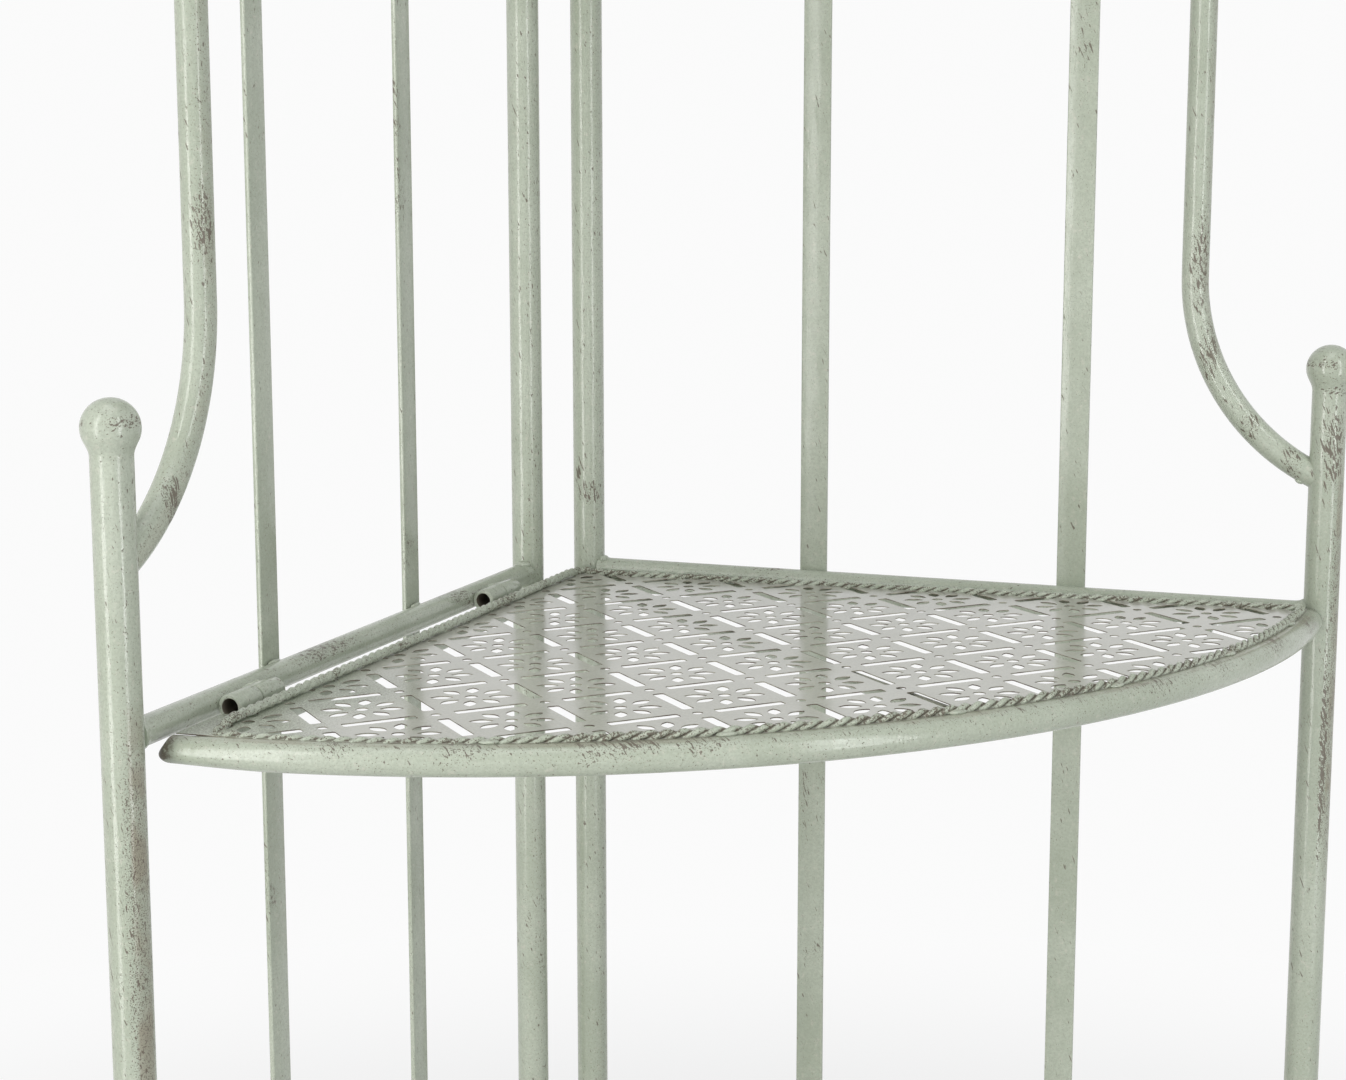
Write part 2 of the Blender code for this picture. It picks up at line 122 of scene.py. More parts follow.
# Shelf pieces: arc and edge places are measured from the shelf's back corner, heights from the hinge axis.
side_clear = post_radius + 0.0004
sheet_left = 0.01435
sheet_top = -0.0012
sheet_thickness = 0.00035
cad_sheet_thickness = 0.0010
under_sheet = sheet_top - cad_sheet_thickness - 0.0003
sheet_front_inset = 0.0009
sheet_tab_edge = 0.0083
sheet_tab_inset = 0.0435
sheet_tab_slant = 0.0015
front_rail_radius = 0.00495
front_arc_setback = 0.0117
arc_along_inset = 0.0152
arc_across_inset = 0.0033
sheet_edge_inset = 0.00328
hinge_rail_across = 0.0155
hinge_rail_radius = 0.00325
side_rail_radius = 0.0030
brace_back_shift = 0.0150
brace_front_bearing = math.radians(46.9)
trim_lift = 0.0003
trim_radius = 0.00175
trim_across = 0.01875
trim_along = 0.0089
trim_arc_inset = 0.0025

# Nose of the front rail, at its free left end: shares and drops are of the rail's radius.
nose_tip = 0.0035
nose_length = 0.0042
nose_drop = 0.16
nose_rings = 12
nose_shoulder = 0.0003
nose_squeeze = 0.13
nose_squeeze_length = 0.0380
nose_squeeze_rise = 0.2
rail_rings = 128
rail_sides = 40
rail_end_angle = 0.0012
rail_end_share = 0.975

# Pierced pattern: a square lattice turned by half a right angle, with a flower in every cell.
lattice_half_diagonal = 0.02585
lattice_along = 0.13025
lattice_across = 0.20325
slot_length = 0.0240
slot_width = 0.0041
slot_corner = 0.0009
node_hole_radius = 0.0017
flower_hole_radius = 0.0021
petal_middle = 0.0094
petal_length = 0.0078
petal_width = 0.0042
petal_count = 8
pattern_margin = 0.0009
smallest_hole_area = 0.0000012

# Places where the paint is rubbed through: side, offset, height, and half the length of the mark.
wear_facing = {"left": Vector((0.75, -0.66, 0.0)), "right": Vector((0.36, -0.93, 0.0))}
post_wear = (("right", front_post_offset, 0.635, 0.017), ("right", back_post_offset, 0.603, 0.006))
upright_wear = (
    ("right", 0.269, 0.702, 0.021), ("right", 0.274, 0.670, 0.016), ("right", 0.290, 0.641, 0.007),
    ("right", 0.306, 0.629, 0.010), ("left", 0.292, 0.640, 0.013), ("left", 0.269, 0.722, 0.012),
)
wear_width_share = 0.85
# A long narrow rub on the right front post, and a mark on the inner side of a left crossbar.
strip_facing = Vector((0.51, -0.86, 0.0))
strip_level = 0.514
strip_reach = (0.0017, 0.0017, 0.040)
crossbar_mark = ("left", 0.200, -0.0020, 0.573)
crossbar_mark_reach = (0.0050, 0.024, 0.0040)
# Stretches of the front posts that are browner on one side: side, height, and half the length.
soiled_stretches = (("left", 0.515, 0.072), ("right", 0.545, 0.090))
soiled_width = 0.030
# Marks along a front rail: bearing on its arc in degrees, and reach.
rail_wear = (
    (10, 0.007), (17, 0.010), (25, 0.012), (30, 0.009), (61, 0.009), (68, 0.007), (76, 0.009), (84, 0.013),
)
# Bare metal on the rings of the front rail, from the tip of its nose.
nose_wear = (0.95,) * 10 + (0.88, 0.80, 0.72, 0.70, 0.30)
# Worn front corner of each sheet: its distance from the outer support and from the left edge, and its reach.
worn_corner_inset = (0.0200, 0.0120)
worn_corner_reach = (0.046, 0.046, 0.02)

# Twisted trim: sinks are below its level, and the strands at the left are thicker and less offset.
strand_radius = 0.00098
strand_offset = 0.00078
left_strand_share = 1.34
left_offset_share = 0.55
rope_sinks = {"left": 0.0002, "right": 0.0018, "front": 0.0012}
front_start_sink = 0.0013
front_start_bearings = (math.radians(12), math.radians(27))
# How strongly the gaps between the strands are browned: painted shade in the crevices, partly worn paint.
rope_gap_shade_and_wear = {"left": 0.80, "right": 1.0, "front": 1.0}
corner_sink = 0.0026
corner_sink_reach = 0.0150
rope_spacing = 0.0006
twist_pitch = 0.0102
twist_steps = 14
strand_sides = 10
tack_shares = (0.21, 0.36, 0.52, 0.66, 0.80, 0.93)

# Weld build-up: distance from the joint against the share of the tube's radius.
# A cut end has both as shares of that radius.
weld_profile = ((0.0000, 1.17), (0.0014, 1.15), (0.0022, 1.09), (0.0031, 1.04), (0.0044, 1.0))
cut_profile = ((0.0, 0.90), (0.08, 0.97), (0.2, 1.0))
plain_share = 1.001
weld_depth = 0.0013
weld_roughness = 0.50
weld_noise_scale = 420.0
# Single lumps of weld metal, by their three half sizes, and seams of it.
lump_radii = {
    "bend_under": (0.0032, 0.0020, 0.0012), "bend_over": (0.0026, 0.0024, 0.0012),
    "arch": (0.0030, 0.0018, 0.0012), "corner": (0.0022, 0.0030, 0.0016),
    "crossbar": (0.0052, 0.0019, 0.0014), "tack": (0.0034, 0.0017, 0.0009),
}
lump_roughness = 0.22
lump_seat_share = 0.86
bend_seat = 0.0046
bend_over_shift = 0.0022
bar_lump_rise = 0.0032
bar_lump_share = 0.36
seam_step = 0.0005
seam_bluntness = 8
seam_least_swell = 0.02
seam_ripple = 0.14
seam_ripple_pitch = 0.0016
seam_roughness = 0.30
seam_noise_scale = 300.0
seam_radii = {"fixed_knuckle": 0.0016, "moving_knuckle": 0.0014, "corner_web": 0.0011, "rest_lug": 0.0013}
seam_gap = 0.0003
smooth_angle = math.radians(38)


def frame_point(side, along, outward, height):
    """World point from distances along a side frame, out of its plane, and above the floor."""
    if side == "left":
        return Vector((corner_x - outward, corner_y - along, height))
    return Vector((corner_x + along, corner_y + outward, height))


def frame_axes(side):
    """Directions along a side frame, out of its plane, and up."""
    return (-backward, -rightward, up) if side == "left" else (rightward, backward, up)


def any_normal(direction):
    guide = up if abs(direction.z) < 0.9 else backward
    return guide.cross(direction).normalized()


def even_steps(count, first=0.0, last=1.0):
    """Evenly spaced values from first to last, both included."""
    return [first + (last - first) * index / count for index in range(count + 1)]


def circle(count):
    """Cosine and sine of evenly spaced angles round a full turn."""
    angles = [math.tau * index / count for index in range(count)]
    return [(math.cos(angle), math.sin(angle)) for angle in angles]


def averaged(values, reach, zero=0.0):
    """Values of a closed run, each averaged with its neighbours up to reach places away."""
    count = len(values)
    shifts = range(-reach, reach + 1)
    return [sum((values[(index + shift) % count] for shift in shifts), zero) / len(shifts)
            for index in range(count)]


def ease(share):
    """Smooth step from zero to one."""
    share = min(max(share, 0.0), 1.0)
    return share * share * (3 - 2 * share)


class Shape:
    """Points and faces of one piece, gathered from swept, turned and plate forms."""

    def __init__(self):
        self.points = []
        self.faces = []

    def skin(self, rings, closed=False):
        """Join rings of equal length; an open run is capped at both ends."""
        base = len(self.points)
        count = len(rings[0])
        for ring in rings:
            self.points.extend(ring)
        runs = len(rings) if closed else len(rings) - 1
        for row in range(runs):
            near = base + row * count
            far = base + (row + 1) % len(rings) * count
            for index in range(count):
                after = (index + 1) % count
                self.faces.append((near + index, near + after, far + after, far + index))
        if not closed:
            last = base + (len(rings) - 1) * count
            self.faces.append(tuple(base + index for index in reversed(range(count))))
            self.faces.append(tuple(last + index for index in range(count)))

    def tube(self, path, radius, sides, normal, shares=None, closed=False):
        """Tube along a path in the plane across normal; shares above one are rough, as weld metal is."""
        count = len(path)
        rings = []
        for row, point in enumerate(path):
            before = path[row - 1] if row or closed else point
            after = path[(row + 1) % count] if row < count - 1 or closed else point
            side = (after - before).normalized().cross(normal).normalized()
            share = shares[row] if shares else 1.0
            flat, tall = share if isinstance(share, tuple) else (share, share)
            ring = []
            for cosine, sine in circle(sides):
                spoke = side * cosine * flat + normal * sine * tall
                reach = radius
                if flat > plain_share:
                    lump = noise.noise((point + spoke * radius) * weld_noise_scale)
                    reach *= 1 + (flat - 1) * weld_roughness * lump
                ring.append(point + spoke * reach)
            rings.append(ring)
        self.skin(rings, closed)

    def welded_rod(self, start, end, radius, sides, weld_start=True):
        """Straight rod that flares into weld metal where it joins its neighbours."""
        length = (end - start).length
        stops = weld_profile if weld_start else [(radius * place, share) for place, share in cut_profile]
        stops = [*stops, *((length - place, share) for place, share in reversed(weld_profile))]
        direction = (end - start).normalized()
        path = [start + direction * place for place, share in stops]
        self.tube(path, radius, sides, any_normal(direction), [share for place, share in stops])

    def turned(self, profile, base, axis, sides):
        """Solid of revolution from (radius, height) points along an axis."""
        axis = axis.normalized()
        first = any_normal(axis)
        second = axis.cross(first)
        rings = []
        for radius, height in profile:
            middle = base + axis * height
            spokes = [(first * cosine + second * sine) * radius for cosine, sine in circle(sides)]
            rings.append([middle + spoke for spoke in spokes])
        self.skin(rings)

    def plate(self, center, axes, size, edge, segments=3):
        """Block with rounded edges along three axes."""
        block = bmesh.new()
        bmesh.ops.create_cube(block, size=1.0)
        bmesh.ops.scale(block, vec=size, verts=block.verts)
        bmesh.ops.bevel(
            block, geom=block.edges[:], offset=edge, segments=segments, profile=0.5, affect="EDGES")
        base = len(self.points)
        block.verts.index_update()
        for corner in block.verts:
            self.points.append(center + axes[0] * corner.co.x + axes[1] * corner.co.y + axes[2] * corner.co.z)
        for face in block.faces:
            self.faces.append(tuple(base + corner.index for corner in face.verts))
        block.free()

    def lump(self, center, axes, radii, sides=16, rows=9):
        """Lump of weld metal: an uneven ellipsoid."""
        rings = []
        for row in range(1, rows):
            polar = math.pi * row / rows
            ring = []
            for cosine, sine in circle(sides):
                spoke = (axes[0] * radii[0] * math.sin(polar) * cosine
                         + axes[1] * radii[1] * math.sin(polar) * sine
                         + axes[2] * radii[2] * math.cos(polar))
                uneven = 1 + lump_roughness * noise.noise((center + spoke) * weld_noise_scale)
                ring.append(center + spoke * uneven)
            rings.append(ring)
        self.skin(rings)

    def seam(self, start, end, radius):
        """Weld seam with the ripples of a hand-held torch."""
        length = (end - start).length
        direction = (end - start).normalized()
        path = []
        shares = []
        for place in even_steps(max(int(length / seam_step), 6)):
            path.append(start + direction * length * place)
            swell = math.sqrt(max(1 - (2 * place - 1) ** seam_bluntness, seam_least_swell))
            ripple = 1 + seam_ripple * math.sin(place * length / seam_ripple_pitch * math.tau)
            uneven = 1 + seam_roughness * noise.noise(path[-1] * seam_noise_scale)
            shares.append(swell * ripple * uneven)
        self.tube(path, radius, 14, any_normal(direction), shares)

    def mesh(self, name):
        mesh = bpy.data.meshes.new(name)
        mesh.from_pydata([tuple(point) for point in self.points], [], self.faces)
        body = bmesh.new()
        body.from_mesh(mesh)
        bmesh.ops.recalc_face_normals(body, faces=body.faces)
        body.to_mesh(mesh)
        body.free()
        mesh.shade_smooth()
        mesh.set_sharp_from_angle(angle=smooth_angle)
        return mesh


def mark_shade_and_wear(mesh, depths):
    """Give each point its crease depth, browned by the paint: painted shade in gaps and bores, wear on the
    rail's nose.
    """
    mesh.attributes.new("crease_shade_and_wear", "FLOAT", "POINT").data.foreach_set("value", depths)


def add_object(name, data):
    added = bpy.data.objects.new(name, data)
    bpy.context.scene.collection.objects.link(added)
    return added


def place_mesh(name, mesh, material, body, node, matrix=None):
    """Put a finished mesh in the scene, on its body and in place of its node."""
    piece = add_object(name, mesh)
    if matrix is not None:
        piece.matrix_world = matrix
    if not mesh.materials:
        mesh.materials.append(material)
    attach(piece, body)
    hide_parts(node)


def place_shape(node, suffix, shape, material, body):
    """Put a finished shape in the scene in place of a node, whose name it takes with a suffix."""
    place_mesh(node + suffix, shape.mesh(node), material, body, node)


# Materials.
sage_light = (0.490, 0.535, 0.440, 1.0)
sage_dark = (0.415, 0.460, 0.365, 1.0)
grain_dark = (0.300, 0.325, 0.255, 1.0)
wear_and_shade_brown = (0.105, 0.078, 0.056, 1.0)
dust_tone = (0.62, 0.60, 0.52, 1.0)
patina_tone = (0.260, 0.225, 0.160, 1.0)
gloss_light = (0.480, 0.480, 0.430, 1.0)
gloss_dark = (0.410, 0.415, 0.360, 1.0)


class Nodes:
    """Short ways to wire one node tree."""

    def __init__(self, owner):
        owner.use_nodes = True
        self.tree = owner.node_tree

    def add(self, kind, inputs, output=0, **settings):
        """One output of a new node, whose inputs are linked from sockets or set to values."""
        node = self.tree.nodes.new(kind)
        for key, value in settings.items():
            setattr(node, key, value)
        for key, value in inputs.items():
            if isinstance(value, bpy.types.NodeSocket):
                self.tree.links.new(value, node.inputs[key])
            else:
                node.inputs[key].default_value = value
        return node.outputs[output]

    def math(self, operation, first, second):
        return self.add("ShaderNodeMath", {0: first, 1: second}, operation=operation)

    def times(self, first, second):
        return self.math("MULTIPLY", first, second)

    def plus(self, first, second):
        return self.math("ADD", first, second)

    def larger(self, first, second):
        return self.math("MAXIMUM", first, second)

    def length(self, vector):
        return self.add("ShaderNodeVectorMath", {0: vector}, "Value", operation="LENGTH")

    def mix(self, factor, first, second):
        return self.add("ShaderNodeMix", {0: factor, 6: first, 7: second}, 2, data_type="RGBA")

    def spread(self, source, low, high, to_low=0.0, to_high=1.0):
        """Smooth step from to_low, where the source is low, to to_high, where it is high."""
        ranges = {"From Min": low, "From Max": high, "To Min": to_low, "To Max": to_high}
        return self.add("ShaderNodeMapRange", {"Value": source, **ranges}, interpolation_type="SMOOTHSTEP")

    def seen_directly(self):
        """One for camera, glossy and transmission rays, zero for the rest."""
        camera = self.add("ShaderNodeLightPath", {}, "Is Camera Ray")
        rays = camera.node.outputs
        return self.larger(self.larger(camera, rays["Is Glossy Ray"]), rays["Is Transmission Ray"])


class Material(Nodes):
    """Principled material whose textures lie in the object's own coordinates."""

    def __init__(self, name, tone):
        self.material = bpy.data.materials.new(name)
        self.material.diffuse_color = tone
        super().__init__(self.material)
        self.shader = self.tree.nodes["Principled BSDF"]
        self.coordinates = self.add("ShaderNodeTexCoord", {}, "Object")
        self.normals = self.coordinates.node.outputs["Normal"]

    def mapped(self, **inputs):
        """The object's coordinates with their origin moved, turned and drawn out."""
        return self.add("ShaderNodeMapping", {"Vector": self.coordinates, **inputs}, vector_type="TEXTURE")

    def noise(self, scale, detail=3.0, roughness=0.5, stretch=None, tilt=(0.0, 0.0, 0.0)):
        """Noise over the object; stretch draws its marks out along the axes after they are tilted."""
        source = self.mapped(Rotation=tilt, Scale=stretch) if stretch else self.coordinates
        return self.add("ShaderNodeTexNoise",
                        {"Vector": source, "Scale": scale, "Detail": detail, "Roughness": roughness})

    def near(self, spots):
        """One at the given places, each a centre and its reach along the axes, and zero away from them."""
        total = 0.0
        for center, reach in spots:
            distance = self.length(self.mapped(Location=center, Scale=reach))
            total = self.larger(total, self.spread(distance, 0.5, 1.2, 1.0, 0.0))
        return total

    def facing(self, direction):
        """How far the surface faces a direction of the object."""
        vectors = {0: self.normals, 1: direction}
        return self.add("ShaderNodeVectorMath", vectors, "Value", operation="DOT_PRODUCT")

    def bump(self, height, strength, distance, under=None):
        inputs = {"Height": height, "Strength": strength, "Distance": distance}
        if under is not None:
            inputs["Normal"] = under
        return self.add("ShaderNodeBump", inputs)

    def finish(self, tone, roughness, normal):
        for key, source in (("Base Color", tone), ("Roughness", roughness), ("Normal", normal)):
            self.tree.links.new(source, self.shader.inputs[key])
        return self.material


def painted(name, wear=0.665, patch=0.63, stretch=(1.0, 1.0, 8.0), tilt=(-0.13, -0.36, 0.0), roughness=0.15,
            patch_stretch=(1.0, 1.0, 2.6), speckle=0.655, band=None, crease_shade_and_wear=False, spots=(), spot_gain=0.140,
            belt=False, patina=0.0, zones=()):
    """Brushed sage paint over brown steel, which shows in dry strokes and fine specks, mostly in patches.

    The lower wear, patch and speckle are, the more steel shows. A band is a direction, the least and the full
    share of facing it, and the gain there; zones limit it to places. Patina browns what faces the band.
    """
    made = Material(name, sage_light)
    tone = made.mix(made.spread(made.noise(22.0, 5.0, 0.6), 0.34, 0.66), sage_light, sage_dark)
    grain = made.spread(made.noise(1100.0, 3.0, 0.7), 0.36, 0.64)
    tone = made.mix(made.times(grain, 0.34), tone, grain_dark)
    dust = made.spread(made.noise(420.0, 6.0, 0.7), 0.55, 0.70)
    tone = made.mix(made.times(dust, 0.42), tone, dust_tone)
    patches = made.spread(made.noise(46.0, 3.0, 0.55, patch_stretch), patch, patch + 0.06, 0.0, 0.11)
    zone = made.near(zones) if zones else 1.0
    side = 0.0
    if band:
        toward, least, full, gain = band
        side = made.times(made.spread(made.facing(toward), least, full, 0.0, gain), zone)
    if spots:
        patches = made.larger(patches, made.times(made.near(spots), spot_gain))
    if belt:
        rise = made.facing(up)
        around = made.times(made.spread(rise, 0.01, 0.16), made.spread(rise, 0.24, 0.58, 1.0, 0.0))
        uneven = made.spread(made.noise(100.0, 2.0), 0.40, 0.54, 0.0, 0.145)
        patches = made.larger(patches, made.times(around, uneven))
    strokes = made.plus(made.noise(1250.0, 2.0, 0.42, stretch, tilt), patches)
    rubbed = made.spread(made.plus(strokes, made.times(side, 0.35)), wear, wear + 0.07)
    fine = made.times(made.plus(patches, side), 0.62)
    dots = made.spread(made.plus(made.noise(2200.0, 2.0, 0.5), fine), speckle, speckle + 0.07)
    bare_and_shade = made.larger(rubbed, dots)
    # Crease marks brown the surface: painted shade in the trim's gaps and the hinge bores, worn steel on the
    # rail's nose.
    if crease_shade_and_wear:
        depth = made.add("ShaderNodeAttribute", {}, "Fac", attribute_name="crease_shade_and_wear")
        ragged = made.spread(made.noise(800.0, 3.0, 0.65), 0.38, 0.62, 0.72, 1.18)
        bare_and_shade = made.larger(bare_and_shade, made.spread(made.times(depth, ragged), 0.30, 0.78))
    if patina:
        uneven = made.spread(made.noise(38.0, 4.0, 0.6), 0.42, 0.58, 0.25 * patina, patina)
        soiled = made.times(made.times(made.spread(made.facing(toward), 0.84, 0.94), uneven), zone)
        tone = made.mix(soiled, tone, patina_tone)
    tone = made.mix(made.times(bare_and_shade, 0.86), tone, wear_and_shade_brown)
    shine = made.spread(made.noise(90.0, 4.0), 0.3, 0.7, roughness - 0.04, roughness + 0.08)
    peel = made.bump(made.noise(1300.0, 2.0), 0.14, 0.0003)
    runs = made.bump(made.noise(150.0, 3.0, 0.5, (1.0, 1.0, 3.5)), 0.34, 0.0008, peel)
    chips = made.bump(made.math("SUBTRACT", 1.0, bare_and_shade), 0.45, 0.00012, runs)
    return made.finish(tone, made.plus(shine, made.times(bare_and_shade, 0.25)), chips)


def sheet_paint():
    """Smooth gloss paint of the pierced sheet, speckled and duller in its worn corner."""
    made = Material("sheet_gloss", gloss_light)
    tone = made.mix(made.spread(made.noise(9.0, 3.0), 0.35, 0.65), gloss_light, gloss_dark)
    grain = made.spread(made.noise(1000.0, 4.0, 0.7), 0.36, 0.66)
    tone = made.mix(made.times(grain, 0.30), tone, dust_tone)
    inset_along, inset_across = worn_corner_inset
    corner = made.near([(local(outer - inset_along, inset_across, sheet_top), worn_corner_reach)
                        for outer in (front_post_offset, upright_offset)])
    speckles = made.spread(made.noise(1500.0, 3.0, 0.65), 0.42, 0.60)
    tone = made.mix(corner, tone, made.mix(speckles, grain_dark, sage_light))
    specks = made.spread(made.noise(1900.0, 2.0, 0.5), 0.57, 0.63)
    tone = made.mix(made.times(made.times(specks, corner), 0.7), tone, wear_and_shade_brown)
    rust = made.spread(made.noise(75.0, 8.0, 0.7), 0.69, 0.73)
    tone = made.mix(made.times(rust, 0.6), tone, wear_and_shade_brown)
    gloss = made.spread(made.noise(60.0, 4.0), 0.3, 0.7, 0.11, 0.21)
    wave = made.bump(made.noise(26.0, 2.0), 0.10, 0.0010)
    grained = made.bump(made.noise(900.0, 2.0), 0.08, 0.0002, wave)
    return made.finish(tone, made.plus(gloss, made.times(corner, 0.20)), grained)


def marked(name, preview, tones, marks, marks_range, shine, shine_range, peel, peel_bump, metallic=0.0):
    """Two tones in marks, with uneven shine and a fine grain; a noise is its scale, detail and roughness."""
    made = Material(name, preview)
    made.shader.inputs["Metallic"].default_value = metallic
    return made.finish(
        made.mix(made.spread(made.noise(*marks), *marks_range), *tones),
        made.spread(made.noise(*shine), 0.3, 0.7, *shine_range),
        made.bump(made.noise(*peel), *peel_bump))


# Side frames.
def finial_profile():
    """Ball that runs down through a concave neck into the post."""
    points = [(ball_radius * math.sin(angle), ball_radius * math.cos(angle))
              for angle in even_steps(26, *ball_angles)]
    start_radius, start_height = points[-1]
    slope = 1 / math.tan(ball_angles[1])
    length = start_height - neck_end
    for share in even_steps(12)[1:]:
        blend = (1 - share) ** 2 * (1 + 2 * share)
        bulge = share * (1 - share) ** 2 * length * slope
        radius = post_radius + (start_radius - post_radius) * blend + bulge
        points.append((radius, start_height - length * share))
    return points + [(post_radius, neck_seat)]


def foot_profile():
    """Rounded foot that closes on the post in a curved shoulder."""
    rounding = foot_rounding
    collar = post_radius + foot_collar_gap
    shoulder = rounding * 1.4
    points = [(foot_radius - rounding * 1.2, 0.0)]
    for angle in even_steps(5, 0.0, math.pi / 2):
        points.append((foot_radius - rounding * (1 - math.sin(angle)), rounding * (1 - math.cos(angle))))
    for angle in even_steps(6, 0.0, math.pi / 2):
        points.append((collar + (foot_radius - collar) * math.cos(angle),
                       foot_height - shoulder + shoulder * math.sin(angle)))
    return points


def upright_path(side):
    """From inside the front post up and inward, straight up, then over into the back post."""
    bend_center = upright_offset + upright_bend_radius
    reach = front_post_offset - post_radius * upright_sink_share
    start = math.pi + math.acos((bend_center - reach) / upright_bend_radius)
    path = []
    for center, level, radius, angles in (
            (bend_center, upright_bend_level, upright_bend_radius, even_steps(40, start, math.pi)),
            (upright_offset - arch_radius, arch_start_level, arch_radius, even_steps(64, 0.0, math.pi / 2))):
        path += [frame_point(side, center + radius * math.cos(angle), 0.0, level + radius * math.sin(angle))
                 for angle in angles]
    return path


def build_posts(side):
    """Back and front post, each with a ball finial and a foot."""
    body = side + "_frame"
    for label, offset, ball_level, finial, paint in (
            ("back", back_post_offset, back_ball_level, "top", back_post_paint),
            ("front", front_post_offset, front_ball_level, "front", post_paint)):
        post = Shape()
        low = frame_point(side, offset, 0.0, foot_height * 0.6)
        high = frame_point(side, offset, 0.0, ball_level + post_top)
        post.tube([low, low.lerp(high, 0.5), high], post_radius, 48, frame_axes(side)[0])
        place_shape(f"{side}_{label}_post", "_tube", post, paint, body)
        ball = Shape()
        ball.turned(finial_profile(), frame_point(side, offset, 0.0, ball_level), up, 56)
        place_shape(f"{side}_{finial}_finial", "_ball", ball, finial_paint, body)
        foot = Shape()
        foot.turned(foot_profile(), frame_point(side, offset, 0.0, 0.0), up, 48)
        place_shape(f"{side}_{label}_foot", "_ferrule", foot, plastic, body)


def build_upright(side):
    """Bent tube between the posts, with weld metal where it meets them."""
    along, outward, up = frame_axes(side)
    path = upright_path(side)
    upright = Shape()
    upright.tube(path, upright_radius, 40, outward)
    lean = (path[1] - path[0]).normalized()
    across = lean.cross(outward)
    if across.z < 0:
        across = -across
    seat = path[0] + lean * bend_seat
    if side == "right":
        under = seat - across * upright_radius * lump_seat_share
        upright.lump(under, (outward, lean, across), lump_radii["bend_under"])
    over = seat + across * upright_radius * 0.80 + lean * bend_over_shift
    upright.lump(over, (outward, lean, across), lump_radii["bend_over"])
    for height in (1, -1):
        seat = path[-1] + along * 0.0010 + up * upright_radius * lump_seat_share * height
        upright.lump(seat, (outward, along, up), lump_radii["arch"])
    place_shape(side + "_upright", "_tube", upright, upright_paint, side + "_frame")


def build_bars(side):
    """Two flat bars outside the crossbars, with weld metal above and below each crossing."""
    for label in ("inner", "outer"):
        name = f"{side}_{label}_bar"
        center, size = box_middle(name), box_size(name)
        offset, width = (corner_y - center.y, size.y) if side == "left" else (center.x - corner_x, size.x)
        bar = Shape()
        bar.plate(center, (rightward, backward, up), size, bar_edge)
        for tier in tiers:
            for rise in (bar_lump_rise, -bar_lump_rise):
                seat = frame_point(side, offset, crossbar_radius * 0.80, tier_level[tier] + rise)
                bar.lump(seat, frame_axes(side), (width * bar_lump_share, 0.0013, 0.0012))
        place_shape(name, "_strip", bar, bar_paint, side + "_frame")


def build_crossbars(side):
    """One crossbar a tier; those at the left carry the shelf's fixed knuckles."""
    back_face = back_post_offset + post_radius
    for tier in tiers:
        level = tier_level[tier]
        far_offset, far_radius = outer_support(tier)
        rod = Shape()
        rod.welded_rod(
            frame_point(side, back_face - weld_depth, 0.0, level),
            frame_point(side, far_offset - far_radius + weld_depth, 0.0, level), crossbar_radius, 36)
        seat = frame_point(side, back_face + 0.0004, -0.0010, level + crossbar_radius * 0.92)
        rod.lump(seat, frame_axes(side), lump_radii["corner"])
        if side == "left":
            add_fixed_knuckles(rod, tier, level)
        place_shape(f"{side}_crossbar_{tier}", "_rod", rod, crossbar_paint, side + "_frame")


def outer_support(tier):
    """Offset and radius of the tube that ends a tier's crossbars."""
    if tier in wide_tiers:
        return front_post_offset, post_radius
    return upright_offset, upright_radius


def hinge_offsets(tier):
    return (back_hinge_offset, outer_support(tier)[0] - front_hinge_inset)


def rounded_wall(radius, length, edge):
    """Outer half section of a cylinder with rounded ends."""
    return [(radius - edge, 0.0), (radius - edge * 0.3, edge * 0.3), (radius, edge),
            (radius, length - edge), (radius - edge * 0.3, length - edge * 0.3), (radius - edge, length)]


def knuckle_profile(bored):
    """Half section of a shelf hinge's knuckle; a bore makes it a tube."""
    length = knuckle_length - knuckle_play
    outer = rounded_wall(knuckle_radius, length, knuckle_edge)
    if not bored:
        return outer
    bore = knuckle_bore_radius
    return outer + [(bore + knuckle_edge * 0.4, length), (bore, length - knuckle_edge * 0.5),
                    (bore, length - knuckle_bore_depth)]


def add_fixed_knuckles(rod, tier, level):
    """Knuckles welded to a left crossbar, each with the pin that reaches into the shelf's knuckle."""
    axis_level = level + hinge_axis_rise
    reach = knuckle_length - pin_recess
    pin_profile = [(pin_radius * 0.72, 0.0), (pin_radius * 0.93, 0.00025), (pin_radius, 0.0007),
                   (pin_radius, reach + 0.004)]
    inner_face = -crossbar_radius - 0.0001
    for offset in hinge_offsets(tier):
        near = frame_point("left", offset - knuckle_play, -hinge_axis_offset, axis_level)
        tip = frame_point("left", offset + reach, -hinge_axis_offset, axis_level)
        rod.turned(knuckle_profile(False), near, backward, 40)
        rod.turned(pin_profile, tip, backward, 28)
        for rise, back_inset, front_inset in ((0.0016, 0.0012, 0.0014), (-0.0016, 0.0016, 0.0012)):
            rod.seam(frame_point("left", offset - knuckle_length + back_inset, inner_face, level + rise),
                     frame_point("left", offset - front_inset, inner_face, level + rise),
                     seam_radii["fixed_knuckle"])
    seat = frame_point("left", back_hinge_offset + knuckle_length * 2, -crossbar_radius * 0.62,
                       level + crossbar_radius * 0.60)
    rod.lump(seat, (backward, Vector((0.7, 0, -0.7)), Vector((0.7, 0, 0.7))), lump_radii["crossbar"])


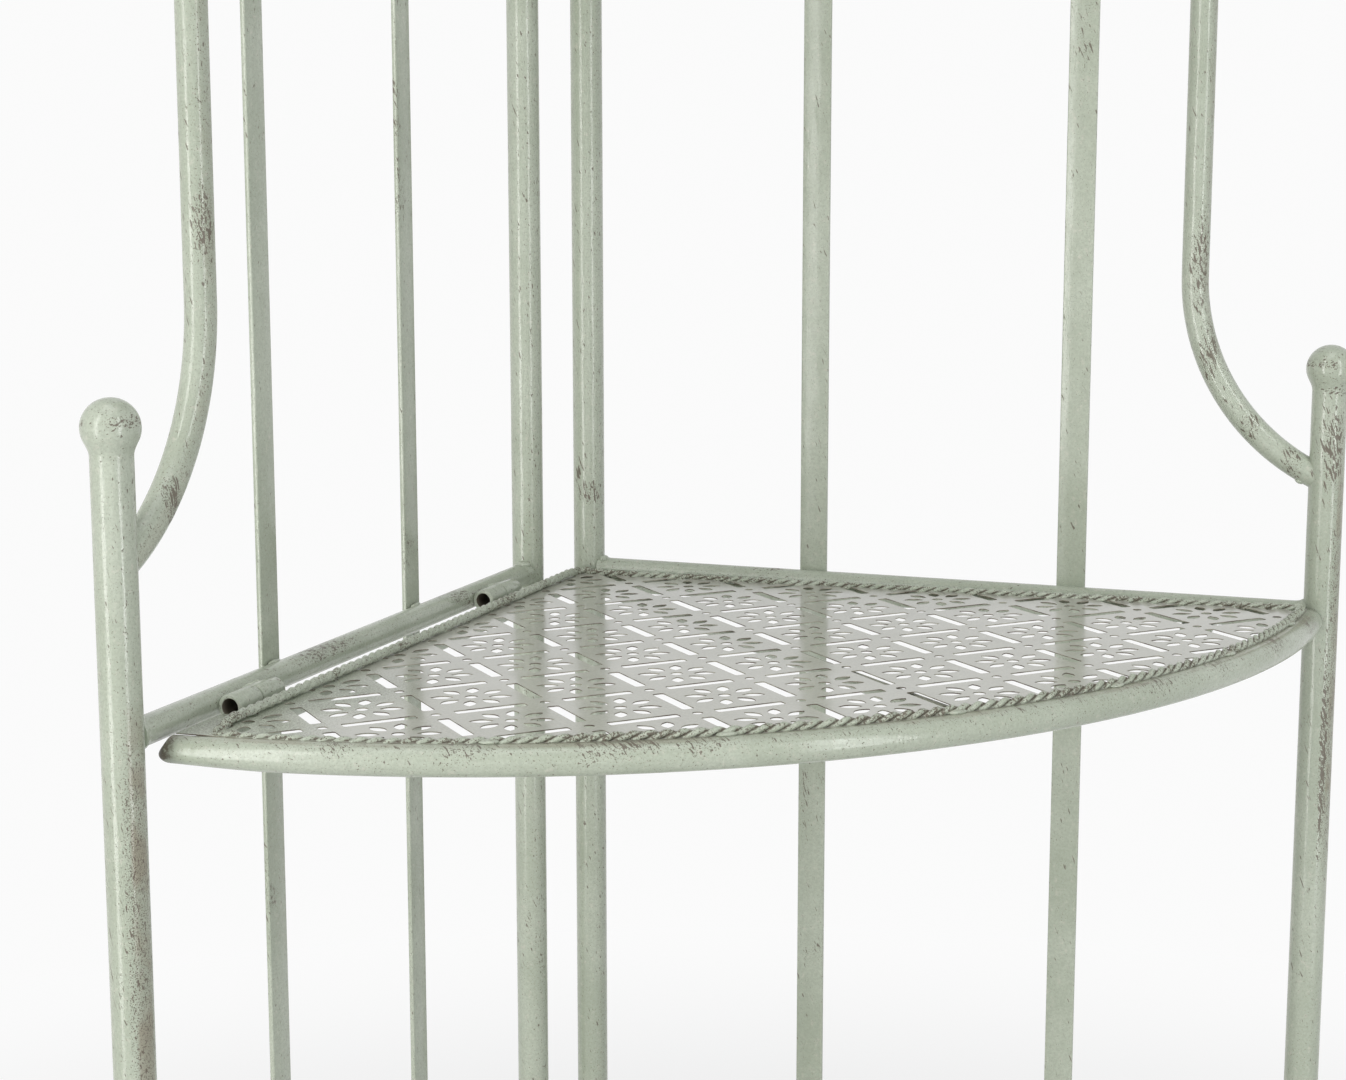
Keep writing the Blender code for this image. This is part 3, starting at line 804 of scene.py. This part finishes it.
def build_corner_hinges():
    """Knuckles, webs and headed pins between the two back posts."""
    radius, bore, edge = corner_knuckle_radius, corner_knuckle_bore, corner_knuckle_edge
    shank, head = corner_shank_radius, corner_head_height
    post_share = post_radius * 0.9
    for level_name in ("lower", "upper"):
        pin_name = "corner_pin_" + level_name
        pin_low, pin_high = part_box(pin_name)
        axis = (pin_low + pin_high) / 2
        for side in ("left", "right"):
            name = f"{side}_corner_knuckle_{level_name}"
            low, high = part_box(name)
            length = high.z - low.z
            post = frame_point(side, back_post_offset, 0.0, 0.0)
            direction = Vector((axis.x - post.x, axis.y - post.y, 0.0))
            web_length = direction.length - radius * 0.75 - post_share
            direction.normalize()
            across = up.cross(direction)
            inner = [(bore, length * 0.5), (bore, edge), (bore + edge * 0.5, 0.0)]
            inner_end = [(bore + edge * 0.5, length), (bore, length - edge), (bore, length * 0.5)]
            knuckle = Shape()
            knuckle.turned(inner + rounded_wall(radius, length, edge) + inner_end,
                           Vector((axis.x, axis.y, low.z)), up, 44)
            web_middle = post + direction * (post_share + web_length / 2) + up * (low.z + high.z) / 2
            knuckle.plate(web_middle, (direction, across, up),
                          (web_length, corner_web_thickness, length - 0.0020), edge)
            for edge_side in (1, -1):
                seat = post + direction * (post_radius + 0.0002) + across * 0.0031 * edge_side
                knuckle.seam(seat + up * (low.z + 0.0016), seat + up * (high.z - 0.0016),
                             seam_radii["corner_web"])
            place_shape(name, "_barrel", knuckle, hinge_paint, side + "_frame")
        height = pin_high.z - pin_low.z
        head_radius = (pin_high.x - pin_low.x) / 2
        pin = Shape()
        pin.turned(
            [(shank * 0.6, 0.0), (shank * 0.92, 0.0005), (shank, 0.0012), (shank, height - head),
             (head_radius - 0.0004, height - head), (head_radius, height - head + 0.0004),
             (head_radius, height - 0.0014), (head_radius * 0.90, height - 0.0005),
             (head_radius * 0.66, height - 0.0001), (head_radius * 0.3, height)],
            Vector((axis.x, axis.y, pin_low.z)), up, 44)
        place_shape(pin_name, "_turned", pin, steel, "left_frame")


def build_rest_lugs():
    """Tabs on the right frame that carry the shelves' right edges."""
    for tier in tiers:
        name = f"rest_lug_{tier}"
        low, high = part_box(name)
        lug = Shape()
        lug.plate((low + high) / 2, (rightward, backward, up), high - low, lug_edge, 4)
        seat = Vector(((low.x + high.x) / 2, corner_y - 0.0030, high.z + seam_gap))
        half = rightward * 0.0052
        lug.seam(seat - half, seat + half, seam_radii["rest_lug"])
        place_shape(name, "_tab", lug, hinge_paint, "right_frame")


# Shelves, each in its own frame: X from the hinge axis to the right, Y against the left frame, Z up.
def local(along, across, height):
    return Vector((across - hinge_axis_offset, -along, height))


def shelf_matrix(tier):
    origin = frame_point("left", 0.0, -hinge_axis_offset, tier_level[tier] + hinge_axis_rise)
    return Matrix.Translation(origin) @ Matrix.Rotation(-rise_angle, 4, "Y")


class Outline:
    """Edges of one shelf: an arc between a left and a right straight edge."""

    def __init__(self, tier):
        self.outer = outer_support(tier)[0]
        self.arc = self.outer - front_arc_setback
        self.middle_along = self.outer - arc_along_inset - self.arc
        self.middle_across = self.outer - arc_across_inset - self.arc

    def arc_point(self, radius, angle):
        return (self.middle_along + radius * math.cos(angle), self.middle_across + radius * math.sin(angle))

    def arc_angles(self, left, right, radius):
        """Bearings at which an arc meets a left edge and a right edge."""
        return (math.asin((left - self.middle_across) / radius),
                math.acos((right - self.middle_along) / radius))

    def border(self, left, right, radius, steps, corner=None):
        """Convex loop of (along, across) points round the shelf, from its back corner."""
        angles = even_steps(steps, *self.arc_angles(left, right, radius))
        return (corner or [(right, left)]) + [self.arc_point(radius, angle) for angle in angles]

    def sheet_border(self, steps):
        """Loop round the sheet, with the tab that fills the corner in front of the first hinge."""
        tab = self.outer - sheet_tab_inset
        corner = [(side_clear, sheet_left), (tab, sheet_left), (tab + sheet_tab_slant, sheet_tab_edge)]
        return self.border(sheet_tab_edge, side_clear, self.arc - sheet_front_inset, steps, corner)

    def reach_along(self, across, radius):
        return self.middle_along + math.sqrt(radius ** 2 - (across - self.middle_across) ** 2)

    def reach_across(self, along, radius):
        return self.middle_across + math.sqrt(radius ** 2 - (along - self.middle_along) ** 2)


def clip(polygon, border):
    """Part of a convex polygon inside a convex border; both run the same way round."""
    kept = polygon
    for index, start in enumerate(border):
        end = border[(index + 1) % len(border)]

        def beyond(point):
            return (end[0] - start[0]) * (point[1] - start[1]) - (end[1] - start[1]) * (point[0] - start[0])

        inside = []
        for place, point in enumerate(kept):
            before = kept[place - 1]
            here, there = beyond(point), beyond(before)
            if (here >= 0) != (there >= 0):
                share = there / (there - here)
                inside.append(tuple(old + (new - old) * share for old, new in zip(before, point)))
            if here >= 0:
                inside.append(point)
        kept = inside
        if len(kept) < 3:
            return []
    return kept


def area(polygon):
    return sum(
        polygon[index - 1][0] * point[1] - point[0] * polygon[index - 1][1]
        for index, point in enumerate(polygon)) / 2


def round_hole(radius):
    return [(radius * cosine, radius * sine) for cosine, sine in circle(16)]


def slot_hole():
    rounding = slot_corner
    points = []
    for corner in range(4):
        middle_x = (slot_length / 2 - rounding) * (1 if corner in (0, 3) else -1)
        middle_y = (slot_width / 2 - rounding) * (1 if corner in (0, 1) else -1)
        for index in range(4):
            angle = math.pi / 2 * (corner + index / 3)
            points.append((middle_x + rounding * math.cos(angle), middle_y + rounding * math.sin(angle)))
    return points


def petal_hole():
    half = [(petal_middle + petal_length * (share - 0.5), petal_width / 2 * math.sin(math.pi * share) ** 0.8)
            for share in even_steps(9)]
    return [(x, -y) for x, y in half[:-1]] + list(reversed(half))[:-1]


def turned_hole(hole, angle, along, across):
    cosine, sine = math.cos(angle), math.sin(angle)
    return [(along + x * cosine - y * sine, across + x * sine + y * cosine) for x, y in hole]


def pattern_holes(outline):
    """All holes of a sheet, cut off where they would reach its border."""
    border = outline.border(
        sheet_left + pattern_margin, side_clear + pattern_margin,
        outline.arc - sheet_edge_inset - pattern_margin, 90)
    if area(border) < 0:
        border.reverse()
    slot, petal = slot_hole(), petal_hole()
    node_hole, flower_hole = round_hole(node_hole_radius), round_hole(flower_hole_radius)
    half = lattice_half_diagonal / 2
    reach = int(outline.outer / lattice_half_diagonal) + 2
    wanted = []
    for row in range(-reach, reach + 1):
        for column in range(-reach, reach + 1):
            along = lattice_along + (row + column) * lattice_half_diagonal
            across = lattice_across + (row - column) * lattice_half_diagonal
            if not (-0.05 < along < outline.outer + 0.05 and -0.05 < across < outline.outer + 0.05):
                continue
            flower_along = along + lattice_half_diagonal
            wanted.append(turned_hole(node_hole, 0.0, along, across))
            wanted.append(turned_hole(slot, math.radians(45), along + half, across + half))
            wanted.append(turned_hole(slot, math.radians(-45), along + half, across - half))
            wanted.append(turned_hole(flower_hole, 0.0, flower_along, across))
            wanted += [turned_hole(petal, math.tau * (index + 0.5) / petal_count, flower_along, across)
                       for index in range(petal_count)]
    kept = [clip(hole, border) for hole in wanted]
    return [hole for hole in kept if hole and area(hole) > smallest_hole_area]


def pierced_mesh(name, outline):
    """Thin sheet with its pattern: filled triangles above and below, and a wall round every edge."""
    points = []
    loops = []
    for loop in [outline.sheet_border(140)] + pattern_holes(outline):
        loops.append(list(range(len(points), len(points) + len(loop))))
        points += [Vector((across - hinge_axis_offset, -along)) for along, across in loop]
    inside_with_holes = 2
    flat, _, triangles, _, _, _ = geometry.delaunay_2d_cdt(points, [], loops, inside_with_holes, 0.0000001)
    count = len(flat)
    corners = [(point.x, point.y, level)
               for level in (sheet_top, sheet_top - sheet_thickness) for point in flat]
    faces = []
    used = {}
    for triangle in triangles:
        faces.append(tuple(triangle))
        faces.append(tuple(count + index for index in reversed(triangle)))
        for start, end in zip(triangle, triangle[1:] + triangle[:1]):
            used[(start, end)] = True
    plain = len(faces)
    for start, end in used:
        if (end, start) not in used:
            faces.append((end, start, count + start, count + end))
    mesh = bpy.data.meshes.new(name)
    mesh.from_pydata(corners, [], faces)
    mesh.materials.append(gloss_paint)
    # The walls round the holes and edges take a dark brown that is painted shade.
    mesh.materials.append(rim_shade_paint)
    for index, face in enumerate(mesh.polygons):
        face.material_index = 0 if index < plain else 1
    mesh.shade_flat()
    return mesh


def even_loop(points, spacing):
    """Closed loop walked at an even spacing, with its corners rounded."""
    dense = []
    for index, start in enumerate(points):
        end = points[(index + 1) % len(points)]
        parts = max(int((end - start).length / spacing), 1)
        dense += [start.lerp(end, part / parts) for part in range(parts)]
    for _ in range(3):
        dense = averaged(dense, 4, Vector())
    return dense


def rope_run(center):
    """Which edge of the sheet a point of the trim's line is on."""
    if center.x < trim_across - hinge_axis_offset + trim_radius:
        return "left"
    return "right" if -center.y < trim_along + trim_radius else "front"


def rope_centers(loop):
    """Places along a closed loop, as many to each turn of the twist as twist_steps says."""
    lengths = [0.0]
    for index, start in enumerate(loop):
        lengths.append(lengths[-1] + (loop[(index + 1) % len(loop)] - start).length)
    total = lengths[-1]
    steps = round(total / twist_pitch) * twist_steps
    centers = []
    place = 0
    for step in range(steps):
        distance = total * step / steps
        while lengths[place + 1] < distance:
            place += 1
        share = (distance - lengths[place]) / (lengths[place + 1] - lengths[place])
        centers.append(loop[place].lerp(loop[(place + 1) % len(loop)], share))
    return centers


def rope_mesh(name, outline):
    """Two wires twisted round the trim's line; their gaps are marked as creases, browned as painted shade and
    wear.
    """
    radius = outline.arc - trim_arc_inset
    level = sheet_top + trim_lift + trim_radius
    line = outline.border(trim_across, trim_along, radius, 160)
    centers = rope_centers(even_loop([local(along, across, level) for along, across in line], rope_spacing))
    steps = len(centers)
    runs = [rope_run(center) for center in centers]
    sinks = averaged([rope_sinks[run] for run in runs], twist_steps)
    flats = averaged([float(run == "left") for run in runs], twist_steps)
    corner = local(outline.reach_along(trim_across, radius), trim_across, level)
    begin, done = front_start_bearings
    for center, sink, run in zip(centers, sinks, runs):
        near = ease(1 - (center - corner).length / corner_sink_reach)
        bearing = math.asin((center.x + hinge_axis_offset - outline.middle_across) / outline.arc)
        start = front_start_sink * ease((done - bearing) / (done - begin)) if run == "front" else 0.0
        center.z -= sink + max(corner_sink * near, start)
    shares = [1 + (left_strand_share - 1) * flat for flat in flats]
    rope = Shape()
    for strand in (0, 1):
        path = []
        for step, center in enumerate(centers):
            tangent = (centers[(step + 1) % steps] - centers[step - 1]).normalized()
            angle = math.tau * step / twist_steps + math.pi * strand
            offset = strand_offset * (1 + (left_offset_share - 1) * flats[step])
            path.append(center + (tangent.cross(up) * math.cos(angle) + up * math.sin(angle)) * offset)
        rope.tube(path, strand_radius, strand_sides, up, shares, closed=True)
    outer = strand_offset + strand_radius
    inner = math.sqrt(strand_radius ** 2 - strand_offset ** 2)
    depths = []
    for index, point in enumerate(rope.points):
        step = index % (steps * strand_sides) // strand_sides
        depth = (outer - (point - centers[step]).length) / (outer - inner)
        depths.append(min(max(depth, 0.0), 1.0) * rope_gap_shade_and_wear[runs[step]])
    mesh = rope.mesh(name)
    mark_shade_and_wear(mesh, depths)
    return mesh


def front_rail_mesh(outline):
    """Tube along the front arc; its free end is cut back toward the top and closes in a low nose."""
    arc = outline.arc
    first, last = outline.arc_angles(nose_tip, side_clear, arc)
    rings = []
    for share in even_steps(nose_rings, 0.012, 1.0):
        wide = math.sqrt(1 - (1 - share) ** 2)
        top = -nose_drop + (1 + nose_drop) * min(share * 1.05, 1.0)
        bottom = -nose_drop - (1 - nose_drop) * wide
        rings.append((first + nose_length * share / arc, wide, (top - bottom) / 2, (top + bottom) / 2))
    body = rings[-1][0]
    plain_angles = even_steps(rail_rings, body, last)[1:-1]
    for angle in (body + nose_shoulder / arc, *plain_angles, last - rail_end_angle):
        rings.append((angle, 1.0, 1.0, 0.0))
    rings.append((last, rail_end_share, rail_end_share, 0.0))
    path = []
    shares = []
    for angle, wide, tall, drop in rings:
        pressed = 1 - nose_squeeze * ease(1 - (angle - first) * arc / nose_squeeze_length)
        height = sheet_top + front_rail_radius * (drop * pressed + (1 - pressed) * nose_squeeze_rise - 1)
        path.append(local(*outline.arc_point(arc, angle), height))
        shares.append((wide, tall * pressed))
    rail = Shape()
    rail.tube(path, front_rail_radius, rail_sides, up, shares)
    contact = arc - trim_arc_inset / 2
    for share in tack_shares:
        angle = body + (last - body) * share
        seat = local(*outline.arc_point(contact, angle), sheet_top + 0.0004)
        ahead = (local(*outline.arc_point(contact, angle + 0.001), sheet_top + 0.0004) - seat).normalized()
        rail.lump(seat, (ahead, ahead.cross(up), up), lump_radii["tack"])
    depths = [depth if sine > -0.5 else depth * 0.6 for depth in nose_wear for _, sine in circle(rail_sides)]
    mesh = rail.mesh("front_rail")
    mark_shade_and_wear(mesh, depths + [0.0] * (len(rail.points) - len(depths)))
    return mesh


def hinge_rail_mesh(name, outline, tier):
    """Rail under the sheet's left edge with the two moving knuckles; their bores get painted shade inside."""
    level = under_sheet - hinge_rail_radius
    end = outline.reach_along(hinge_rail_across, outline.arc) - front_rail_radius * 0.9
    rail = Shape()
    rail.welded_rod(local(side_clear, hinge_rail_across, level), local(end, hinge_rail_across, level),
                    hinge_rail_radius, 32, weld_start=False)
    for offset in hinge_offsets(tier):
        start = local(offset + knuckle_play, hinge_axis_offset, 0.0)
        rail.turned(knuckle_profile(True), start, -backward, 40)
        for share in (0.40, 0.62):
            across = hinge_axis_offset + (hinge_rail_across - hinge_axis_offset) * share
            rail.seam(local(offset + 0.0014, across, level * share),
                      local(offset + knuckle_length - 0.0014, across, level * share),
                      seam_radii["moving_knuckle"])
    mesh = rail.mesh(name)
    bore = knuckle_bore_radius * 1.04
    mark_shade_and_wear(mesh, [float(math.hypot(point.x, point.z) < bore) for point in rail.points])
    return mesh


def shelf_meshes(tier, width):
    """Mesh, material and slot of every piece of a wide or a narrow shelf."""
    outline = Outline(tier)
    side_level = under_sheet - side_rail_radius
    side_along = side_clear + side_rail_radius
    side_end = outline.reach_across(side_along, outline.arc) - front_rail_radius * 0.8
    side_rail = Shape()
    side_rail.welded_rod(
        local(side_along, hinge_rail_across + hinge_rail_radius * 0.8, side_level),
        local(side_along, side_end, side_level), side_rail_radius, 28)
    brace_start = side_along + side_rail_radius * 0.6
    brace_end = outline.arc_point(outline.arc - front_rail_radius * 0.75, brace_front_bearing)
    brace = Shape()
    brace.welded_rod(local(brace_start, brace_start + brace_back_shift, side_level),
                     local(*brace_end, side_level), side_rail_radius, 28)
    return {
        "front_rail": (front_rail_mesh(outline), rail_paint, "frame_paint"),
        "hinge_rail": (hinge_rail_mesh("hinge_rail_" + width, outline, tier), hinge_paint, "frame_paint"),
        "side_rail": (side_rail.mesh("side_rail_" + width), rail_paint, "frame_paint"),
        "brace": (brace.mesh("brace_" + width), rail_paint, "frame_paint"),
        "sheet": (pierced_mesh("sheet_" + width, outline), gloss_paint, "sheet_paint"),
        "trim": (rope_mesh("trim_" + width, outline), trim_paint, "frame_paint"),
    }


def build_shelves():
    """Four shelves; those of one width share their meshes."""
    meshes = {}
    for tier in tiers:
        width = "wide" if tier in wide_tiers else "narrow"
        if width not in meshes:
            meshes[width] = shelf_meshes(tier, width)
        for label, (mesh, material, slot) in meshes[width].items():
            node = f"shelf_{tier}_{label}"
            place_mesh(node + "_made", mesh, material, f"shelf_{tier}", node, shelf_matrix(tier))


# Paints and metals of the pieces.
def rubbed_spots(marks, radius):
    """Centre and reach of each mark, on the side of its tube that is rubbed most."""
    width = radius * wear_width_share
    return [(frame_point(side, along, 0.0, height) + wear_facing[side] * radius, (width, width, half_length))
            for side, along, height, half_length in marks]


def rail_spots():
    """Centre and reach of each rubbed place along the top of a wide shelf's front rail."""
    outline = Outline(pictured_tier)
    spots = []
    for bearing, reach in rail_wear:
        along, across = outline.arc_point(outline.arc, math.radians(bearing))
        center = local(along, across, sheet_top - front_rail_radius * 0.35)
        spots.append((center, (reach, reach, front_rail_radius * 0.75)))
    return spots


# Directions that the brushed sides of the tubes face, and the stretch of marks without a direction.
post_side = (0.96, -0.28, 0.0)
crossbar_side = (0.62, -0.30, 0.72)
even = (1.0, 1.0, 1.0)
soiled_zones = [(frame_point(side, front_post_offset, 0.0, height), (soiled_width, soiled_width, half_length))
                for side, height, half_length in soiled_stretches]
post_spots = rubbed_spots(post_wear, post_radius)
strip = (frame_point("right", front_post_offset, 0.0, strip_level) + strip_facing * post_radius, strip_reach)
post_paint = painted(
    "post_paint", stretch=(1.0, 1.0, 9.0), band=(post_side, 0.50, 0.85, 0.165), spots=post_spots + [strip],
    spot_gain=0.155, patina=0.72, zones=soiled_zones)
back_post_paint = painted("back_post_paint", band=(post_side, 0.70, 0.95, 0.04), spots=post_spots)
upright_paint = painted(
    "upright_paint", band=(post_side, 0.60, 0.92, 0.07), spots=rubbed_spots(upright_wear, upright_radius),
    patina=0.20)
finial_paint = painted(
    "finial_paint", patch=0.58, stretch=(1.6, 1.6, 1.0), patch_stretch=(1.4, 1.4, 1.0), belt=True)
bar_paint = painted("bar_paint", wear=0.68)
crossbar_paint = painted(
    "crossbar_paint", wear=0.67, stretch=(2.0, 2.0, 1.0), patch_stretch=(1.6, 1.6, 1.0), speckle=0.640,
    band=(crossbar_side, 0.80, 0.97, 0.04), spots=[(frame_point(*crossbar_mark), crossbar_mark_reach)],
    spot_gain=0.115)
rail_paint = painted(
    "rail_paint", stretch=(8.0, 1.0, 1.0), tilt=(0.0, 0.25, -0.60), patch_stretch=(2.0, 2.0, 1.0),
    band=(up, 0.30, 0.90, 0.06), crease_shade_and_wear=True, spots=rail_spots(), spot_gain=0.092, patina=0.42)
# The trim's crease marks paint shade into the gaps between its strands, along with worn paint.
trim_paint = painted(
    "trim_paint", wear=0.61, patch=0.52, stretch=even, roughness=0.34, speckle=0.61, crease_shade_and_wear=True)
# Its crease marks paint shade inside the knuckles' bores.
hinge_paint = painted("hinge_paint", stretch=even, roughness=0.30, crease_shade_and_wear=True)
gloss_paint = sheet_paint()
# Dark brown for the walls of the sheet's holes and edges: painted shade where the cut walls fall in shadow.
rim_shade_paint = marked(
    "sheet_rim_shade", (0.16, 0.14, 0.10, 1.0), ((0.30, 0.29, 0.23, 1.0), (0.085, 0.062, 0.042, 1.0)),
    marks=(140.0, 5.0, 0.6), marks_range=(0.40, 0.62), shine=(300.0, 3.0), shine_range=(0.45, 0.65),
    peel=(900.0, 2.0), peel_bump=(0.2, 0.0002))
steel = marked(
    "pin_steel", (0.42, 0.41, 0.39, 1.0), ((0.46, 0.45, 0.42, 1.0), (0.27, 0.24, 0.20, 1.0)),
    marks=(120.0, 5.0), marks_range=(0.35, 0.65), shine=(200.0, 4.0), shine_range=(0.30, 0.50),
    peel=(500.0, 3.0), peel_bump=(0.12, 0.0003), metallic=0.85)
plastic = marked(
    "foot_plastic", (0.05, 0.05, 0.05, 1.0), ((0.045, 0.045, 0.043, 1.0), (0.11, 0.105, 0.095, 1.0)),
    marks=(180.0, 6.0, 0.7), marks_range=(0.50, 0.75), shine=(300.0, 3.0), shine_range=(0.45, 0.65),
    peel=(900.0, 2.0), peel_bump=(0.15, 0.0003))

for side in ("left", "right"):
    build_posts(side)
    build_upright(side)
    build_bars(side)
    build_crossbars(side)
build_corner_hinges()
build_rest_lugs()
build_shelves()


# Studio: pale floor, white surroundings, two tall soft lights, a low one in front and a broad one overhead.
backdrop_white = (0.962, 0.962, 0.962, 1.0)
ambient_tone = (0.435, 0.440, 0.445, 1.0)
floor_tone = (0.74, 0.74, 0.74, 1.0)
floor_lift = (0.24, 0.24, 0.24, 1.0)
floor_half_size = 20.0
floor_fade = (0.45, 1.40)


def build_world():
    world = bpy.data.worlds.new("studio")
    bpy.context.scene.world = world
    nodes = Nodes(world)
    background = nodes.tree.nodes["Background"]
    background.inputs["Strength"].default_value = 1.0
    color = nodes.mix(nodes.seen_directly(), ambient_tone, backdrop_white)
    nodes.tree.links.new(color, background.inputs["Color"])


def build_floor():
    """Matt floor that keeps the object's shadow and fades to the backdrop's white away from it."""
    half = floor_half_size
    mesh = bpy.data.meshes.new("floor")
    corners = [(-half, -half, 0), (half, -half, 0), (half, half, 0), (-half, half, 0)]
    mesh.from_pydata(corners, [], [(0, 1, 2, 3)])
    floor = add_object("studio_floor", mesh)
    material = bpy.data.materials.new("floor_pale")
    nodes = Nodes(material)
    nodes.tree.nodes.remove(nodes.tree.nodes["Principled BSDF"])
    direct = nodes.seen_directly()
    matte = nodes.add("ShaderNodeBsdfDiffuse", {"Color": floor_tone})
    lift = nodes.add("ShaderNodeEmission", {"Color": floor_lift, "Strength": direct})
    near = nodes.add("ShaderNodeAddShader", {0: matte, 1: lift})
    far = nodes.add("ShaderNodeEmission", {"Color": backdrop_white})
    distance = nodes.length(nodes.add("ShaderNodeTexCoord", {}, "Object"))
    fade = nodes.times(direct, nodes.spread(distance, *floor_fade))
    mixed = nodes.add("ShaderNodeMixShader", {0: fade, 1: near, 2: far})
    nodes.tree.links.new(mixed, nodes.tree.nodes["Material Output"].inputs["Surface"])
    mesh.materials.append(material)


def add_soft_light(name, bearing, distance, height, size, power, aim_height, tone=(1.0, 1.0, 1.0)):
    """Area light at a bearing from the front, in degrees toward the right."""
    light = bpy.data.lights.new(name, "AREA")
    light.shape = "RECTANGLE"
    light.size, light.size_y = size
    light.energy = power
    light.color = tone
    holder = add_object(name, light)
    angle = math.radians(bearing)
    holder.location = (distance * math.sin(angle), -distance * math.cos(angle), height)
    aim = Vector((0.0, 0.0, aim_height)) - holder.location
    holder.rotation_euler = aim.to_track_quat("-Z", "Y").to_euler()
    holder.visible_camera = False


camera_bearing = 19.85
camera_pitch = 8.72

build_world()
build_floor()
add_soft_light("key_strip", camera_bearing - 46.5, distance=1.31, height=0.99, size=(0.34, 1.9), power=11.0,
               aim_height=0.99, tone=(1.0, 0.99, 0.97))
add_soft_light("fill_strip", camera_bearing + 41, distance=1.40, height=0.99, size=(0.26, 1.9), power=9.0,
               aim_height=0.99, tone=(0.98, 0.99, 1.0))
add_soft_light("low_front", 0.0, distance=1.90, height=0.42, size=(2.4, 0.7), power=3.0, aim_height=0.60)
add_soft_light("top_soft", camera_bearing - 20, distance=0.5, height=3.0, size=(1.6, 1.6), power=13.0,
               aim_height=0.6)

camera = add_object("photo_camera", bpy.data.cameras.new("photo_camera"))
camera.location = (0.2271, -0.7359, 0.7417)
camera.rotation_euler = (math.radians(90 - camera_pitch), 0.0, math.radians(camera_bearing))
camera.data.lens = 61.91
camera.data.sensor_width = 36.0
camera.data.shift_x = -0.0105
camera.data.shift_y = -0.02
camera.data.clip_start = 0.02
bpy.context.scene.camera = camera
bpy.context.scene.view_settings.view_transform = "Standard"
